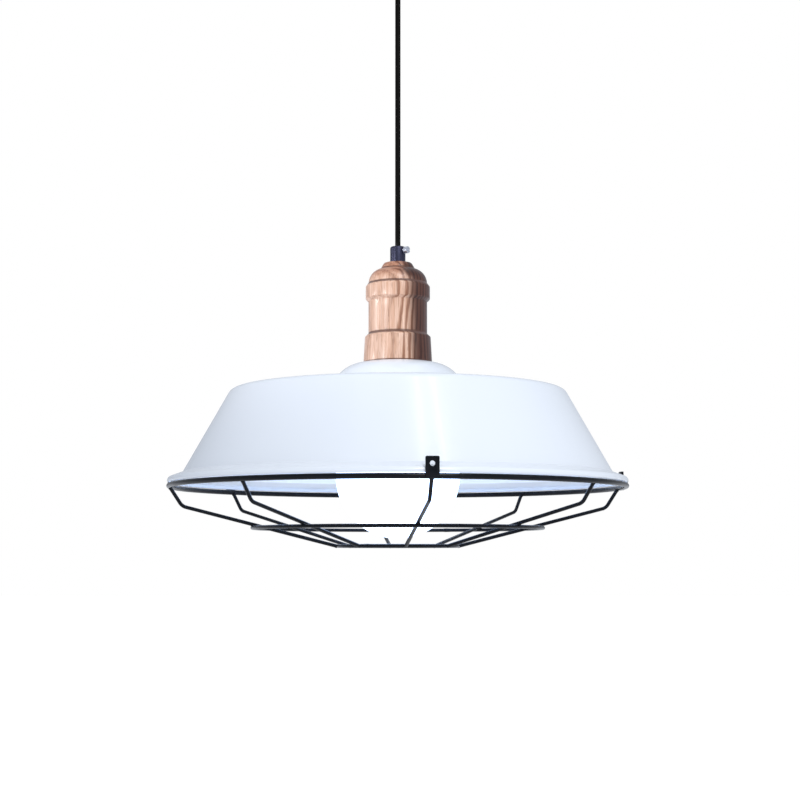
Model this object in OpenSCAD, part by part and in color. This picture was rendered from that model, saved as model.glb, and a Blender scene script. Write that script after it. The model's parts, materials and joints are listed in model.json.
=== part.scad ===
// Pendant ceiling light: a turned wood lampholder cover, a wide enamelled shade with a
// rolled lip, an opal globe bulb and a wire guard, hung on a cord from a ceiling canopy.
// Millimetres, +Z up. The origin is the middle of the ceiling bracket's top face, and the
// lamp hangs below it. Lamp heights are measured from the seat, the plane where the wood
// cover stands on the top of the shade.

/* [Ceiling canopy] */
// Outside diameter of the canopy cup
canopy_d = 100; // [84:1:130]
// Height of the canopy cup
canopy_h = 25; // [24:0.5:32]
// Wall of the canopy cup
canopy_wall = 1.2; // [0.8:0.1:2]
// Rounding of the canopy's lower edge
canopy_round = 9; // [4:1:12]
// Width of the ceiling bracket's bar
bracket_w = 18; // [14:1:24]
// Thickness of the ceiling bracket's steel
bracket_t = 2; // [1.5:0.25:3]
// Depth of the bracket's two turned-down ears
ear_h = 12; // [10:1:14]
// Distance between the two ceiling slots
slot_pitch = 60; // [54:1:64]
// Width of a ceiling slot
slot_w = 5; // [4:0.5:6]
// Length of a ceiling slot, end to end
slot_len = 12; // [8:1:13]
// Radius of the mains entry hole in the bracket
entry_r = 4.5; // [3.5:0.25:5]

/* [Canopy grip] */
// Outside diameter of the canopy's cord grip
canopy_grip_d = 13; // [12:0.5:16]
// Length of the canopy's cord grip below the canopy
canopy_grip_h = 15; // [14:0.5:16]
// Wire radius of the rubber bush in the grip's mouth
bush_wire_r = 1.2; // [1:0.1:1.2]

/* [Cord] */
// Diameter of the cord
cord_d = 4.2; // [3.5:0.1:4.4]
// Diameter of one insulated lead
lead_d = 1.6; // [1.2:0.1:1.8]

/* [Lamp grip] */
// Outside diameter of the lamp's cord grip
grip_d = 11.9; // [11:0.1:14]
// Height of the lamp's cord grip
grip_h = 13; // [12:0.5:16]
// Diameter of the hollow threaded tube
nipple_d = 8; // [7.6:0.1:8.4]

/* [Wood cover] */
// Height of the wood cover
wood_h = 78.4; // [72:0.2:94]
// Radius of the foot, where the cover stands on the shade
foot_r = 26.5; // [25.8:0.1:31]
// Radius of the lower band at its top
low_band_r = 25.4; // [24.6:0.1:30]
// Height of the lower band, up to its bevel
low_band_h = 20.4; // [16:0.2:23]
// Radius of the waist
waist_r = 22.7; // [22:0.1:24]
// Radius of the upper band
top_band_r = 24.9; // [24.2:0.1:29]
// Height of the upper band
top_band_h = 11.8; // [10:0.2:14]
// Height of the dome and collar above the upper band
crown_h = 16.6; // [15:0.2:18]
// Bevel at the bands' edges
band_bevel = 2.2; // [1:0.1:2.6]
// Radius of the collar at the top
collar_r = 10.9; // [9.6:0.1:12]
// Thickness of the solid wood above the hollow
wood_web = 18.4; // [15:0.2:22]

/* [Shade] */
// Outside diameter of the shade over its lip
shade_d = 350; // [292:1:420]
// Sheet thickness
sheet_t = 1; // [0.8:0.1:1.4]
// Radius of the dome's bend
dome_bend_r = 26; // [21.7:0.1:31]
// Radius of the shoulder where the sloping wall begins
shoulder_r = 128; // [107:1:135]
// Depth of the shoulder below the seat
shoulder_z = 21.7; // [19:0.1:26]
// Slope of the top between the dome and the shoulder, in degrees
top_slope = 4; // [3:0.1:5]
// Width of the rolled lip
lip_w = 11.4; // [9.5:0.1:13.6]
// Depth of the sloping wall's lower edge below the seat
wall_z = 85.2; // [80:0.1:102]
// Slope of the lip's upper face, in degrees
lip_slope = 20; // [16:1:24]
// Radius of the lip's rolled edge
lip_roll_r = 3.2; // [2.7:0.1:3.8]

/* [Bulb] */
// Diameter of the opal globe
bulb_d = 95; // [80:1:114]
// Depth of the globe's centre below the seat
bulb_z = 87.2; // [80:0.1:96]
// Radius of the globe's neck
bulb_neck_r = 19; // [17:0.5:21]
// Wall of the globe
bulb_wall = 1.5; // [1:0.1:2]
// Radius of the bulb's screw cap
cap_r = 13.2; // [13:0.05:13.25]

/* [Wire guard] */
// Wire diameter of the top ring
top_wire_d = 4; // [3.3:0.1:4.8]
// Wire diameter of the ribs and of the lower rings
rib_wire_d = 2.8; // [2.3:0.1:3.4]
// Turn of the first rib from the front, in degrees
rib_turn = 7.5; // [0:0.5:15]
// Depth of the ribs' bend below the seat
bend_z = 110.7; // [106:0.1:130]
// Distance of the ribs' bend inside the top ring
bend_in = 10; // [8:0.1:14]
// Radius of the ribs' bend
bend_r = 7; // [5:0.5:9]
// Radius of the middle ring
mid_ring_r = 110.7; // [92:0.1:125]
// Radius of the bottom ring
bottom_ring_r = 46; // [38:0.5:55]
// Depth of the bottom ring below the seat
bottom_z = 140.4; // [138:0.1:168]
// Width of a tab
tab_w = 9.4; // [8:0.1:12]
// Thickness of a tab
tab_t = 1.5; // [1:0.1:2]
// Height of a tab above the top ring
tab_h = 13; // [11:0.1:15.6]
// Radius of the hole in a tab
tab_hole_r = 1.8; // [1.5:0.1:2.1]

/* [Hidden] */
$fn = 96;

// Clearances
fit_gap = 0.05;      // between a thread or spigot and its hole
slip_gap = 0.3;      // between pieces that pass one another
weld = 0.3;          // how far welded wires sink into each other
bend_swell = 0.02;   // how much a wire swells where it is bent
bend_sink = 0.3;     // how far a straight wire runs on into its bend
cut = 1;             // how far a cutter runs past a face

// The cord's route, from the bush in the canopy grip's mouth down to the lamp's grip
cord_route = [
    [0, 0, -41], [0, 0, -51], [0, 0, -61], [0, 0, -71], [0, 0, -81], [0, 0, -91],
    [0, 0, -101], [0, 0, -111], [0, 0, -121], [0, 0, -131], [0, 0, -141], [0, 0, -151],
    [0, 0, -161], [0, 0, -171], [0, 0, -181], [0, 0, -191], [0, 0, -201], [0, 0, -211],
    [0, 0, -221], [0, 0, -231], [0, 0, -241], [0, 0, -251]
];
cord_r = cord_d / 2;
cord_sides = 12;
lead_r = lead_d / 2;
lead_sides = 8;
core_gap = lead_r + 0.15;                       // from the cord's middle to a lead's

// Ceiling side
canopy_r = canopy_d / 2;
canopy_in_r = canopy_r - canopy_wall;
screw_r = 1.9;                                  // fixing screws' shank
screw_head_r = 3.5;
screw_head_h = 2.3;
ear_x = sqrt(pow(canopy_in_r, 2) - pow(bracket_w / 2, 2)) - 0.4;
ear_screw_z = -bracket_t - ear_h / 2;
grip_spigot_r = 4.9;                            // canopy grip's thread
grip_spigot_h = 8;
cord_bore_r = cord_r + 0.2;
pivot_z = -canopy_h - 11.5;                     // where the cord flexes
grip_mouth_z = -canopy_h - canopy_grip_h;
grip_screw_z = -canopy_h - 4;
bush_r = cord_r + 0.2 + bush_wire_r;            // the bush ring's centre line
swing_room = 16;                                // the swing that the bush has room for, in degrees
bush_room = bush_r * sin(swing_room) + bush_wire_r + 0.1;
thumb_shank_r = 1.4;                            // locking screws
block_screw_r = 1.5;
block_screw_head_r = 2.6;
terminal_bore_r = 1.6;
block_len = 16;
block_w = 17;
block_h = 10;
block_x = 15.5;
pole_y = block_w / 4;
tail_top = -13.5;

// Lamp: the seat, and the heights above it
seat_z = cord_route[len(cord_route) - 1][2] - grip_h - wood_h;
grip_r = grip_d / 2;
nipple_r = nipple_d / 2;
nipple_bore_r = cord_r + 0.35;
grip_thread_h = 7;
thumb_z = wood_h + grip_h - 3.3;                // locking screw
thumb_turn = -35;
wood_hollow_r = 19.6;
hollow_top = wood_h - wood_web;
top_band_top = wood_h - crown_h;
top_band_z = top_band_top - top_band_h;
flange_r = 21.5;
flange_h = 4;
recess_r = flange_r + slip_gap;
recess_h = flange_h + slip_gap;
dome_r = 11.4;                                  // wood dome's rounding
dome_z = top_band_top + 0.6;
dome_in = top_band_r - band_bevel - dome_r;
dome_end = 78;                                  // where the dome's arc stops, in degrees

// Lampholder
holder_r = 19.3;
holder_bottom = -22;
shade_hole_r = holder_r + 0.2;
shell_r = 14.2;
shell_in_r = cap_r + slip_gap;
tip_z = 3;
contact_gap = 0.1;
body_web_z = 4.4;
body_top = 8;
cap_out_r = 19.2;
cap_in_r = 17.2;
cap_top = 32;
cap_roof = 3.5;
cap_boss_r = 7;
cap_boss_h = 7;
terminal_x = 9;
nipple_bottom = cap_top - cap_roof - cap_boss_h + 1;
nipple_top = wood_h + grip_thread_h - 0.3;
cord_end_z = nipple_bottom - 1.5;
washer_h = 1;
nut_h = 4;

// Shade outline, as radius and height, the outer face of the sheet
lip_r = shade_d / 2;
shoulder = [shoulder_r, -shoulder_z];
wall_foot = [lip_r - lip_w, -wall_z];
wall_slope = atan2(shoulder[1] - wall_foot[1], wall_foot[0] - shoulder[0]);
dome_bend = 58;                                 // turn of the dome's arc, in degrees
dome_c = [dome_bend_r, -dome_bend_r];
dome_foot = dome_c + dome_bend_r * [sin(dome_bend), cos(dome_bend)];
dome_run = (shoulder[1] + (shoulder[0] - dome_foot[0]) * tan(top_slope) - dome_foot[1])
    / (cos(dome_bend) * tan(top_slope) - sin(dome_bend));
dome_corner = dome_foot + dome_run * [cos(dome_bend), -sin(dome_bend)];
dome_fillet = 5;
shoulder_fillet = 7;
wall_fillet = 1.6;
lip_c = [lip_r - lip_roll_r,
    wall_foot[1] - (lip_w - lip_roll_r + lip_roll_r * sin(lip_slope)) * tan(lip_slope)
    - lip_roll_r * cos(lip_slope)];
lip_curl = -30;
lip_end = lip_c + lip_roll_r * [cos(lip_curl), sin(lip_curl)];

// Guard
rib_count = 8;                                  // each rib is a node
top_wire_r = top_wire_d / 2;
rib_wire_r = rib_wire_d / 2;
tab_in_r = lip_r + slip_gap;
top_ring_r = tab_in_r - top_wire_r + weld / 2;
top_ring_z = lip_end[1] - top_wire_r - 0.2;
rib_pitch = 360 / rib_count;
rib_top = [top_ring_r, top_ring_z];
rib_bend = [top_ring_r - bend_in, -bend_z];
rib_foot = [bottom_ring_r + rib_wire_r - weld, -bottom_z];
rib_slope = atan2(rib_bend[1] - rib_foot[1], rib_bend[0] - rib_foot[0]);
mid_drop = 2 * rib_wire_r - weld;
mid_ring_z = rib_foot[1] + (mid_ring_r - mid_drop * sin(rib_slope) - rib_foot[0])
    * tan(rib_slope) - mid_drop * cos(rib_slope);
tab_ribs = [0, 2, 5];                           // the ribs that a tab stands over

// Bulb
bulb_r = bulb_d / 2;
neck_top = holder_bottom - 1.5;
neck_cut = -bulb_z + sqrt(pow(bulb_r, 2) - pow(bulb_neck_r, 2));
neck_in_r = bulb_neck_r - 2.2;
globe_mouth_r = sqrt(pow(bulb_r - bulb_wall, 2) - pow(bulb_z + neck_cut, 2));
thread_pitch = 3.6;
thread_turns = 6;
thread_foot = neck_top + 0.8;
thread_top = thread_foot + thread_pitch * thread_turns;

black = [0.05, 0.05, 0.06];
gunmetal = [0.16, 0.17, 0.2];
brass = [0.8, 0.62, 0.3];
steel = [0.72, 0.72, 0.74];
enamel = [0.92, 0.94, 0.97];
ash = [0.8, 0.62, 0.46];
phenolic = [0.1, 0.09, 0.09];

// ---- shared shapes ----

// Points of an arc about c, from angle a to angle b
function arc(c, r, a, b, n = 8) = [for (i = [0:n]) let (t = a + (b - a) * i / n) c + r * [cos(t), sin(t)]];

// Centre of the round between two lines that fall outwards at slopes a and b and meet at q;
// a negative radius gives the round on the outer side
function round_c(q, a, b, r) =
    q - r * ([sin(a), cos(a)] + [sin(b), cos(b)]) / (1 + sin(a) * sin(b) + cos(a) * cos(b));

// The shade's outline, moved in by d from the outer face
function shade_line(d) = concat(
    [[shade_hole_r, -d]],
    arc(dome_c, dome_bend_r - d, 90, 90 - dome_bend, 12),
    arc(round_c(dome_corner, dome_bend, top_slope, -dome_fillet), dome_fillet + d,
        270 - dome_bend, 270 - top_slope, 6),
    arc(round_c(shoulder, top_slope, wall_slope, shoulder_fillet), shoulder_fillet - d,
        90 - top_slope, 90 - wall_slope, 8),
    arc(round_c(wall_foot, wall_slope, lip_slope, -wall_fillet), wall_fillet + d,
        270 - wall_slope, 270 - lip_slope, 4),
    arc(lip_c, lip_roll_r - d, 90 - lip_slope, lip_curl, 8)
);

function reversed(list) = [for (i = [len(list) - 1:-1:0]) list[i]];

// Across-direction and up-direction of a sweep at point i
function unit(v) = v / norm(v);
function way(path, i) = unit(path[min(i + 1, len(path) - 1)] - path[max(i - 1, 0)]);
function side_of(t) = unit(cross(t, abs(t[0]) > 0.95 ? [0, 1, 0] : [1, 0, 0]));

// A round tube swept along a path; ends gives the radii of its first and last ring
module swept(path, r, sides, first_r = undef) {
    n = len(path);
    rings = [for (i = [0:n - 1])
        let (t = way(path, i), u = side_of(t), v = cross(t, u))
        let (q = (i == 0 && first_r != undef) ? first_r : r)
        for (k = [0:sides - 1]) path[i] + q * (u * cos(360 * k / sides) + v * sin(360 * k / sides))];
    walls = [for (i = [0:n - 2], k = [0:sides - 1])
        let (k2 = (k + 1) % sides)
        [i * sides + k, (i + 1) * sides + k, (i + 1) * sides + k2, i * sides + k2]];
    caps = [[for (k = [0:sides - 1]) k], [for (k = [sides - 1:-1:0]) (n - 1) * sides + k]];
    polyhedron(points = rings, faces = concat(walls, caps));
}

// A ring turned from a circle
module wire_ring(ring_r, wire_r, z) {
    translate([0, 0, z])
        rotate_extrude()
            translate([ring_r, 0])
                circle(r = wire_r, $fn = 32);
}

// A straight wire between two points given as radius and height
module wire(p, q, r) {
    d = q - p;
    translate([p[0], 0, p[1]])
        rotate([0, atan2(d[0], d[1]), 0])
            cylinder(r = r, h = norm(d), $fn = 32);
}

module tube(r, bore, z0, z1) {
    difference() {
        translate([0, 0, z0])
            cylinder(r = r, h = z1 - z0);
        translate([0, 0, z0 - cut])
            cylinder(r = bore, h = z1 - z0 + 2 * cut);
    }
}

module at_seat() {
    translate([0, 0, seat_z])
        children();
}

// A pan-head screw along +X, its head's seat at x
module screw_x(x, shank, r = screw_r, head_r = screw_head_r, head_h = screw_head_h) {
    translate([x - shank, 0, 0])
        rotate([0, 90, 0])
            cylinder(r = r, h = shank + head_h / 2);
    translate([x, 0, 0])
        rotate([0, 90, 0])
            difference() {
                cylinder(r1 = head_r, r2 = head_r * 0.8, h = head_h);
                translate([-head_r, -0.4, head_h - 0.8])
                    cube([2 * head_r, 0.8, cut + 0.8]);
            }
}

// ---- ceiling side ----

module slot(x) {
    for (s = [-1, 1])
        translate([x + s * (slot_len - slot_w) / 2, 0, -bracket_t - cut])
            cylinder(r = slot_w / 2, h = bracket_t + 2 * cut);
    translate([x - (slot_len - slot_w) / 2, -slot_w / 2, -bracket_t - cut])
        cube([slot_len - slot_w, slot_w, bracket_t + 2 * cut]);
}

module ceiling_bracket() {
    color(steel)
        difference() {
            union() {
                translate([-ear_x, -bracket_w / 2, -bracket_t])
                    cube([2 * ear_x, bracket_w, bracket_t]);
                for (s = [-1, 1])
                    translate([s * (ear_x - bracket_t / 2) - bracket_t / 2, -bracket_w / 2,
                            -bracket_t - ear_h])
                        cube([bracket_t, bracket_w, ear_h + bracket_t / 2]);
            }
            slot(slot_pitch / 2);
            slot(-slot_pitch / 2);
            translate([0, 0, -bracket_t - cut])
                cylinder(r = entry_r, h = bracket_t + 2 * cut);
            translate([-ear_x - cut, 0, ear_screw_z])
                rotate([0, 90, 0])
                    cylinder(r = screw_r + fit_gap, h = 2 * ear_x + 2 * cut);
            translate([block_x, 0, -bracket_t - cut])
                cylinder(r = block_screw_r + fit_gap, h = bracket_t + 2 * cut);
        }
}

module canopy() {
    in_round = canopy_round - canopy_wall;
    color(black)
        difference() {
            rotate_extrude()
                polygon(concat(
                    [[canopy_in_r, 0], [canopy_r, 0]],
                    arc([canopy_r - canopy_round, -canopy_h + canopy_round], canopy_round, 0, -90),
                    [[grip_spigot_r + 0.2, -canopy_h], [grip_spigot_r + 0.2, -canopy_h + canopy_wall]],
                    arc([canopy_r - canopy_round, -canopy_h + canopy_round], in_round, -90, 0)
                ));
            translate([-canopy_r - cut, 0, ear_screw_z])
                rotate([0, 90, 0])
                    cylinder(r = screw_r + 0.3, h = 2 * canopy_r + 2 * cut);
        }
}

module canopy_screws() {
    color(black)
        for (turn = [0, 180])
            rotate([0, 0, turn])
                translate([0, 0, ear_screw_z])
                    screw_x(canopy_r, 7);
}

module terminal_block() {
    color("white")
        difference() {
            translate([block_x - block_len / 2, -block_w / 2, -bracket_t - block_h])
                cube([block_len, block_w, block_h]);
            for (s = [-1, 1]) {
                translate([block_x - block_len / 2 - cut, s * pole_y, -bracket_t - block_h / 2])
                    rotate([0, 90, 0])
                        cylinder(r = terminal_bore_r, h = block_len + 2 * cut);
                for (e = [-1, 1])
                    translate([block_x + e * block_len / 4, s * pole_y, -bracket_t - block_h - cut])
                        cylinder(r = terminal_bore_r, h = block_h / 2 + cut);
            }
            translate([block_x, 0, -bracket_t - block_h - cut])
                cylinder(r = block_screw_r + fit_gap, h = block_h + 2 * cut);
            translate([block_x, 0, -bracket_t - block_h - cut])
                cylinder(r = block_screw_head_r + fit_gap, h = 4 + cut);
        }
}

module terminal_screws() {
    color(brass)
        for (s = [-1, 1], e = [-1, 1])
            translate([block_x + e * block_len / 4, s * pole_y, -bracket_t - block_h + 0.5])
                cylinder(r = terminal_bore_r - fit_gap, h = block_h / 2 - 0.5 - lead_r - 0.1);
}

module block_screw() {
    color(steel) {
        translate([block_x, 0, -bracket_t - block_h + 2])
            cylinder(r = block_screw_r, h = block_h - 2);
        translate([block_x, 0, -bracket_t - block_h + 2])
            cylinder(r = block_screw_head_r, h = 2);
    }
}

module canopy_grip() {
    body_r = canopy_grip_d / 2;
    room_top = pivot_z + bush_room;
    room_low = pivot_z - bush_room;
    room_r = bush_r + bush_wire_r + 0.25;
    mouth_r = cord_r + 2;
    color(gunmetal)
        difference() {
            rotate_extrude()
                polygon(concat(
                    [[cord_bore_r, -canopy_h + grip_spigot_h], [grip_spigot_r, -canopy_h + grip_spigot_h],
                        [grip_spigot_r, -canopy_h], [body_r, -canopy_h]],
                    arc([body_r - 0.8, grip_mouth_z + 0.8], 0.8, 0, -90, 4),
                    [[mouth_r, grip_mouth_z], [mouth_r - 0.3, room_low], [room_r, room_low],
                        [room_r, room_top], [cord_bore_r, room_top]]
                ));
            translate([0, 0, grip_screw_z])
                rotate([0, 90, 0])
                    cylinder(r = thumb_shank_r + fit_gap, h = canopy_grip_d);
        }
}

module canopy_grip_nut() {
    color(gunmetal)
        difference() {
            translate([0, 0, -canopy_h + canopy_wall])
                cylinder(r = 8, h = nut_h, $fn = 6);
            translate([0, 0, -canopy_h + canopy_wall - cut])
                cylinder(r = grip_spigot_r + fit_gap, h = nut_h + 2 * cut);
        }
}

// A locking screw along +X: a thin shank that stops at the cord, and a turned head
module thumb_screw(outer_r, head_r = 2.7, head_h = 3.6) {
    rotate([0, 90, 0]) {
        translate([0, 0, cord_r + fit_gap])
            cylinder(r = thumb_shank_r, h = outer_r + 0.4 - cord_r);
        translate([0, 0, outer_r + 0.3])
            difference() {
                cylinder(r = head_r, h = head_h);
                translate([-head_r - cut, -0.35, head_h - 0.9])
                    cube([2 * (head_r + cut), 0.7, 0.9 + cut]);
            }
    }
}

module canopy_grip_screw() {
    color(steel)
        translate([0, 0, grip_screw_z])
            thumb_screw(canopy_grip_d / 2);
}

module cord_tail() {
    color(black)
        translate([0, 0, pivot_z])
            cylinder(r = cord_r, h = tail_top - pivot_z);
}

module canopy_lead(s) {
    y = s * pole_y;
    pole_z = -bracket_t - block_h / 2;
    swept([[0, s * core_gap, tail_top], [0, s * core_gap, tail_top + 1.6], [0.9, s * 1.8, tail_top + 4.4],
        [3.4, s * 3.3, tail_top + 6.2], [6.2, y, pole_z], [block_x - block_len / 2 + 1, y, pole_z],
        [block_x, y, pole_z], [block_x + block_len / 2 - 2.5, y, pole_z]], lead_r, lead_sides);
}

module canopy_live_lead() {
    color("saddlebrown")
        canopy_lead(1);
}

module canopy_neutral_lead() {
    color("steelblue")
        canopy_lead(-1);
}

// ---- cord ----

module cord_bush() {
    color([0.08, 0.08, 0.08])
        wire_ring(bush_r, bush_wire_r, pivot_z);
}

module cord() {
    path = concat([[0, 0, pivot_z - 0.2], [0, 0, pivot_z - 1.1]], cord_route);
    color(black)
        swept(path, cord_r, cord_sides, 0.5);
}

// ---- lamp: grip, tube and wood cover ----

module lamp_grip() {
    top = wood_h + grip_h;
    color(gunmetal)
        at_seat()
            difference() {
                rotate_extrude()
                    polygon(concat(
                        [[nipple_r + fit_gap, wood_h], [grip_r, wood_h]],
                        arc([grip_r - 1.3, top - 1.3], 1.3, 0, 90, 6),
                        [[cord_bore_r, top], [cord_bore_r, wood_h + grip_thread_h],
                            [nipple_r + fit_gap, wood_h + grip_thread_h]]
                    ));
                translate([0, 0, thumb_z])
                    rotate([0, 0, thumb_turn])
                        rotate([0, 90, 0])
                            cylinder(r = thumb_shank_r + fit_gap, h = grip_d);
            }
}

module lamp_grip_screw() {
    color([0.8, 0.82, 0.86])
        at_seat()
            translate([0, 0, thumb_z])
                rotate([0, 0, thumb_turn])
                    thumb_screw(grip_r);
}

module threaded_tube() {
    color(steel)
        at_seat()
            tube(nipple_r, nipple_bore_r, nipple_bottom, nipple_top);
}

module wood_cover() {
    dome_c2 = [dome_in, dome_z];
    dome_last = dome_c2 + dome_r * [cos(dome_end), sin(dome_end)];
    color(ash)
        at_seat()
            rotate_extrude()
                polygon(concat(
                    [[recess_r, 0], [foot_r - 0.4, 0], [foot_r, 0.5], [low_band_r, low_band_h],
                        [waist_r + 0.5, low_band_h + band_bevel], [waist_r, low_band_h + band_bevel + 0.5],
                        [waist_r, top_band_z - band_bevel], [top_band_r - 0.3, top_band_z - 0.3],
                        [top_band_r, top_band_z + 0.4], [top_band_r, top_band_top - band_bevel],
                        [top_band_r - band_bevel * 0.7, top_band_top]],
                    arc(dome_c2, dome_r, 0, dome_end, 10),
                    [[dome_last[0] - 0.9, dome_last[1] + 0.5], [collar_r + 1.9, dome_last[1] + 1.3],
                        [collar_r + 0.3, wood_h - 0.7], [collar_r - 0.5, wood_h],
                        [nipple_r + slip_gap, wood_h], [nipple_r + slip_gap, hollow_top],
                        [wood_hollow_r, hollow_top], [wood_hollow_r, recess_h], [recess_r, recess_h]]
                ));
}

module tube_washer() {
    color(steel)
        at_seat()
            tube(9.5, nipple_r + fit_gap, hollow_top - washer_h, hollow_top);
}

module tube_nut() {
    low = hollow_top - washer_h - nut_h;
    color(steel)
        at_seat()
            difference() {
                translate([0, 0, low])
                    cylinder(r = 7.5, h = nut_h, $fn = 6);
                translate([0, 0, low - cut])
                    cylinder(r = nipple_r + fit_gap, h = nut_h + 2 * cut);
            }
}

module cord_end() {
    color(black)
        at_seat()
            translate([0, 0, cord_end_z])
                cylinder(r = cord_r, h = wood_h + grip_h - cord_end_z);
}

module lamp_lead(s) {
    at_seat()
        swept([[s * core_gap, 0, cord_end_z], [s * core_gap, 0, cord_end_z - 0.9],
            [s * 3.2, 0, cord_end_z - 2.3], [s * 6.4, 0, cord_end_z - 2.5],
            [s * (terminal_x - 0.6), 0, cord_end_z - 3.4], [s * terminal_x, 0, body_top + 5.2]],
            lead_r, lead_sides);
}

module lamp_live_lead() {
    color("saddlebrown")
        lamp_lead(-1);
}

module lamp_neutral_lead() {
    color("steelblue")
        lamp_lead(1);
}

// ---- lampholder ----

module lampholder_cap() {
    boss_low = cap_top - cap_roof - cap_boss_h;
    color(phenolic)
        at_seat()
            rotate_extrude()
                polygon(concat(
                    [[cap_in_r, flange_h], [cap_out_r, flange_h]],
                    arc([cap_out_r - 6, cap_top - 6], 6, 0, 90, 6),
                    [[nipple_r + fit_gap, cap_top], [nipple_r + fit_gap, boss_low], [cap_boss_r, boss_low],
                        [cap_boss_r, cap_top - cap_roof]],
                    arc([cap_in_r - 4, cap_top - cap_roof - 4], 4, 90, 0, 4)
                ));
}

module lampholder_body() {
    color(phenolic)
        at_seat()
            difference() {
                rotate_extrude()
                    polygon([
                        [shell_r + fit_gap, holder_bottom], [holder_r, holder_bottom], [holder_r, 0],
                        [flange_r, 0], [flange_r, flange_h], [cap_in_r - fit_gap, flange_h],
                        [cap_in_r - fit_gap, body_top], [0, body_top], [0, body_web_z],
                        [shell_r + fit_gap, body_web_z]
                    ]);
                for (x = [0, terminal_x + 2])
                    translate([x, 0, 0])
                        cylinder(r = 1.2 + fit_gap, h = body_top + cut);
            }
}

module socket_shell() {
    color(brass)
        at_seat()
            rotate_extrude()
                polygon([
                    [shell_in_r, holder_bottom + 1], [shell_r, holder_bottom + 1], [shell_r, body_web_z],
                    [9.6, body_web_z], [9.6, body_web_z - 0.8], [shell_in_r, body_web_z - 0.8]
                ]);
}

module terminal(x) {
    difference() {
        translate([x - 2.6, -2.6, body_top])
            cube([5.2, 5.2, 7]);
        translate([x, 0, body_top + 2])
            cylinder(r = lead_r + 0.2, h = 5 + cut);
        translate([x - 2.6 - cut, 0, body_top + 4])
            rotate([0, 90, 0])
                cylinder(r = 1.1 + fit_gap, h = 5.2 + 2 * cut);
    }
}

module centre_contact() {
    low = tip_z + contact_gap;
    color(brass)
        at_seat() {
            translate([0, 0, low])
                cylinder(r = 4, h = 0.6);
            translate([0, 0, low])
                cylinder(r = 1.2, h = body_top - low + 0.4);
            translate([-terminal_x, -1.8, body_top])
                cube([terminal_x + 1.8, 3.6, 0.8]);
            terminal(-terminal_x);
        }
}

module side_contact() {
    color(brass)
        at_seat() {
            translate([terminal_x + 2, 0, body_web_z])
                cylinder(r = 1.2, h = body_top - body_web_z + 1);
            terminal(terminal_x);
        }
}

module holder_screws() {
    color(steel)
        at_seat()
            for (s = [-1, 1])
                translate([s * (terminal_x + lead_r + 0.3), 0, body_top + 4])
                    rotate([0, s * 90, 0]) {
                        cylinder(r = 1.1, h = 3);
                        translate([0, 0, 2.6 - lead_r - 0.3])
                            cylinder(r = 1.9, h = 1.2);
                    }
}

// ---- shade ----

module shade() {
    color(enamel)
        at_seat()
            rotate_extrude($fn = 180)
                polygon(concat(shade_line(0), reversed(shade_line(sheet_t))));
}

module shade_ring() {
    color(phenolic)
        at_seat()
            difference() {
                rotate_extrude()
                    polygon([
                        [holder_r + fit_gap, -sheet_t - 6], [holder_r + 2.7, -sheet_t - 6],
                        [holder_r + 3.2, -sheet_t - 5.5], [holder_r + 3.2, -sheet_t - 2],
                        [holder_r + 5, -sheet_t - 1.4], [holder_r + 5, -sheet_t],
                        [holder_r + fit_gap, -sheet_t]
                    ]);
                for (i = [0:11])
                    rotate([0, 0, 30 * i])
                        translate([holder_r + 3.9, 0, -sheet_t - 6 - cut])
                            cylinder(r = 1.1, h = 4 + cut);
            }
}

// ---- bulb ----

module bulb_globe() {
    color("white")
        at_seat()
            difference() {
                translate([0, 0, -bulb_z])
                    sphere(r = bulb_r);
                translate([0, 0, -bulb_z])
                    sphere(r = bulb_r - bulb_wall);
                translate([0, 0, neck_cut])
                    cylinder(r = bulb_r, h = bulb_r);
            }
}

module bulb_neck() {
    color([0.95, 0.95, 0.94])
        at_seat()
            rotate_extrude()
                polygon([
                    [neck_in_r, neck_cut], [bulb_neck_r, neck_cut], [bulb_neck_r, neck_cut + 2],
                    [bulb_neck_r - 1.6, neck_cut + 8], [cap_r + 1, neck_top - 3], [cap_r + 1, neck_top],
                    [cap_r - 1, neck_top], [cap_r - 1, neck_top - 3], [neck_in_r - 1.4, neck_cut + 7]
                ]);
}

// A stem through the globe's mouth, with a plate for the diodes and a flange that sits on the glass
module bulb_led_post() {
    plate_r = globe_mouth_r - slip_gap;
    color([0.95, 0.9, 0.6])
        at_seat() {
            translate([0, 0, neck_cut - 14])
                cylinder(r = plate_r, h = 2);
            translate([0, 0, neck_cut - 12.5])
                cylinder(r = plate_r - 2.5, h = 13);
            translate([0, 0, neck_cut])
                cylinder(r = neck_in_r - 0.6, h = 2.5);
        }
}

module bulb_cap() {
    root = cap_r - 0.6;
    color(brass)
        at_seat()
            rotate_extrude()
                polygon(concat(
                    [[root - 1, neck_top], [cap_r, neck_top], [cap_r, thread_foot]],
                    [for (i = [0:thread_turns - 1]) each [
                        [root, thread_foot + thread_pitch * (i + 0.35)],
                        [cap_r, thread_foot + thread_pitch * (i + 0.85)]]],
                    [[root - 0.4, thread_top], [root - 1, thread_top]]
                ));
}

module bulb_insulator() {
    seat_r = cap_r - 1.65;
    color(black)
        at_seat()
            rotate_extrude()
                polygon([
                    [0, thread_top - 1.5], [seat_r, thread_top - 1.5], [seat_r, thread_top],
                    [5.4, tip_z - 1], [0, tip_z - 1]
                ]);
}

module bulb_tip() {
    color(steel)
        at_seat()
            translate([0, 0, tip_z - 1])
                cylinder(r1 = 4.8, r2 = 3.6, h = 1);
}

// ---- guard ----

module guard_top_ring() {
    color(black)
        at_seat()
            wire_ring(top_ring_r, top_wire_r, top_ring_z);
}

module guard_mid_ring() {
    color(black)
        at_seat()
            wire_ring(mid_ring_r, rib_wire_r, mid_ring_z);
}

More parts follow.
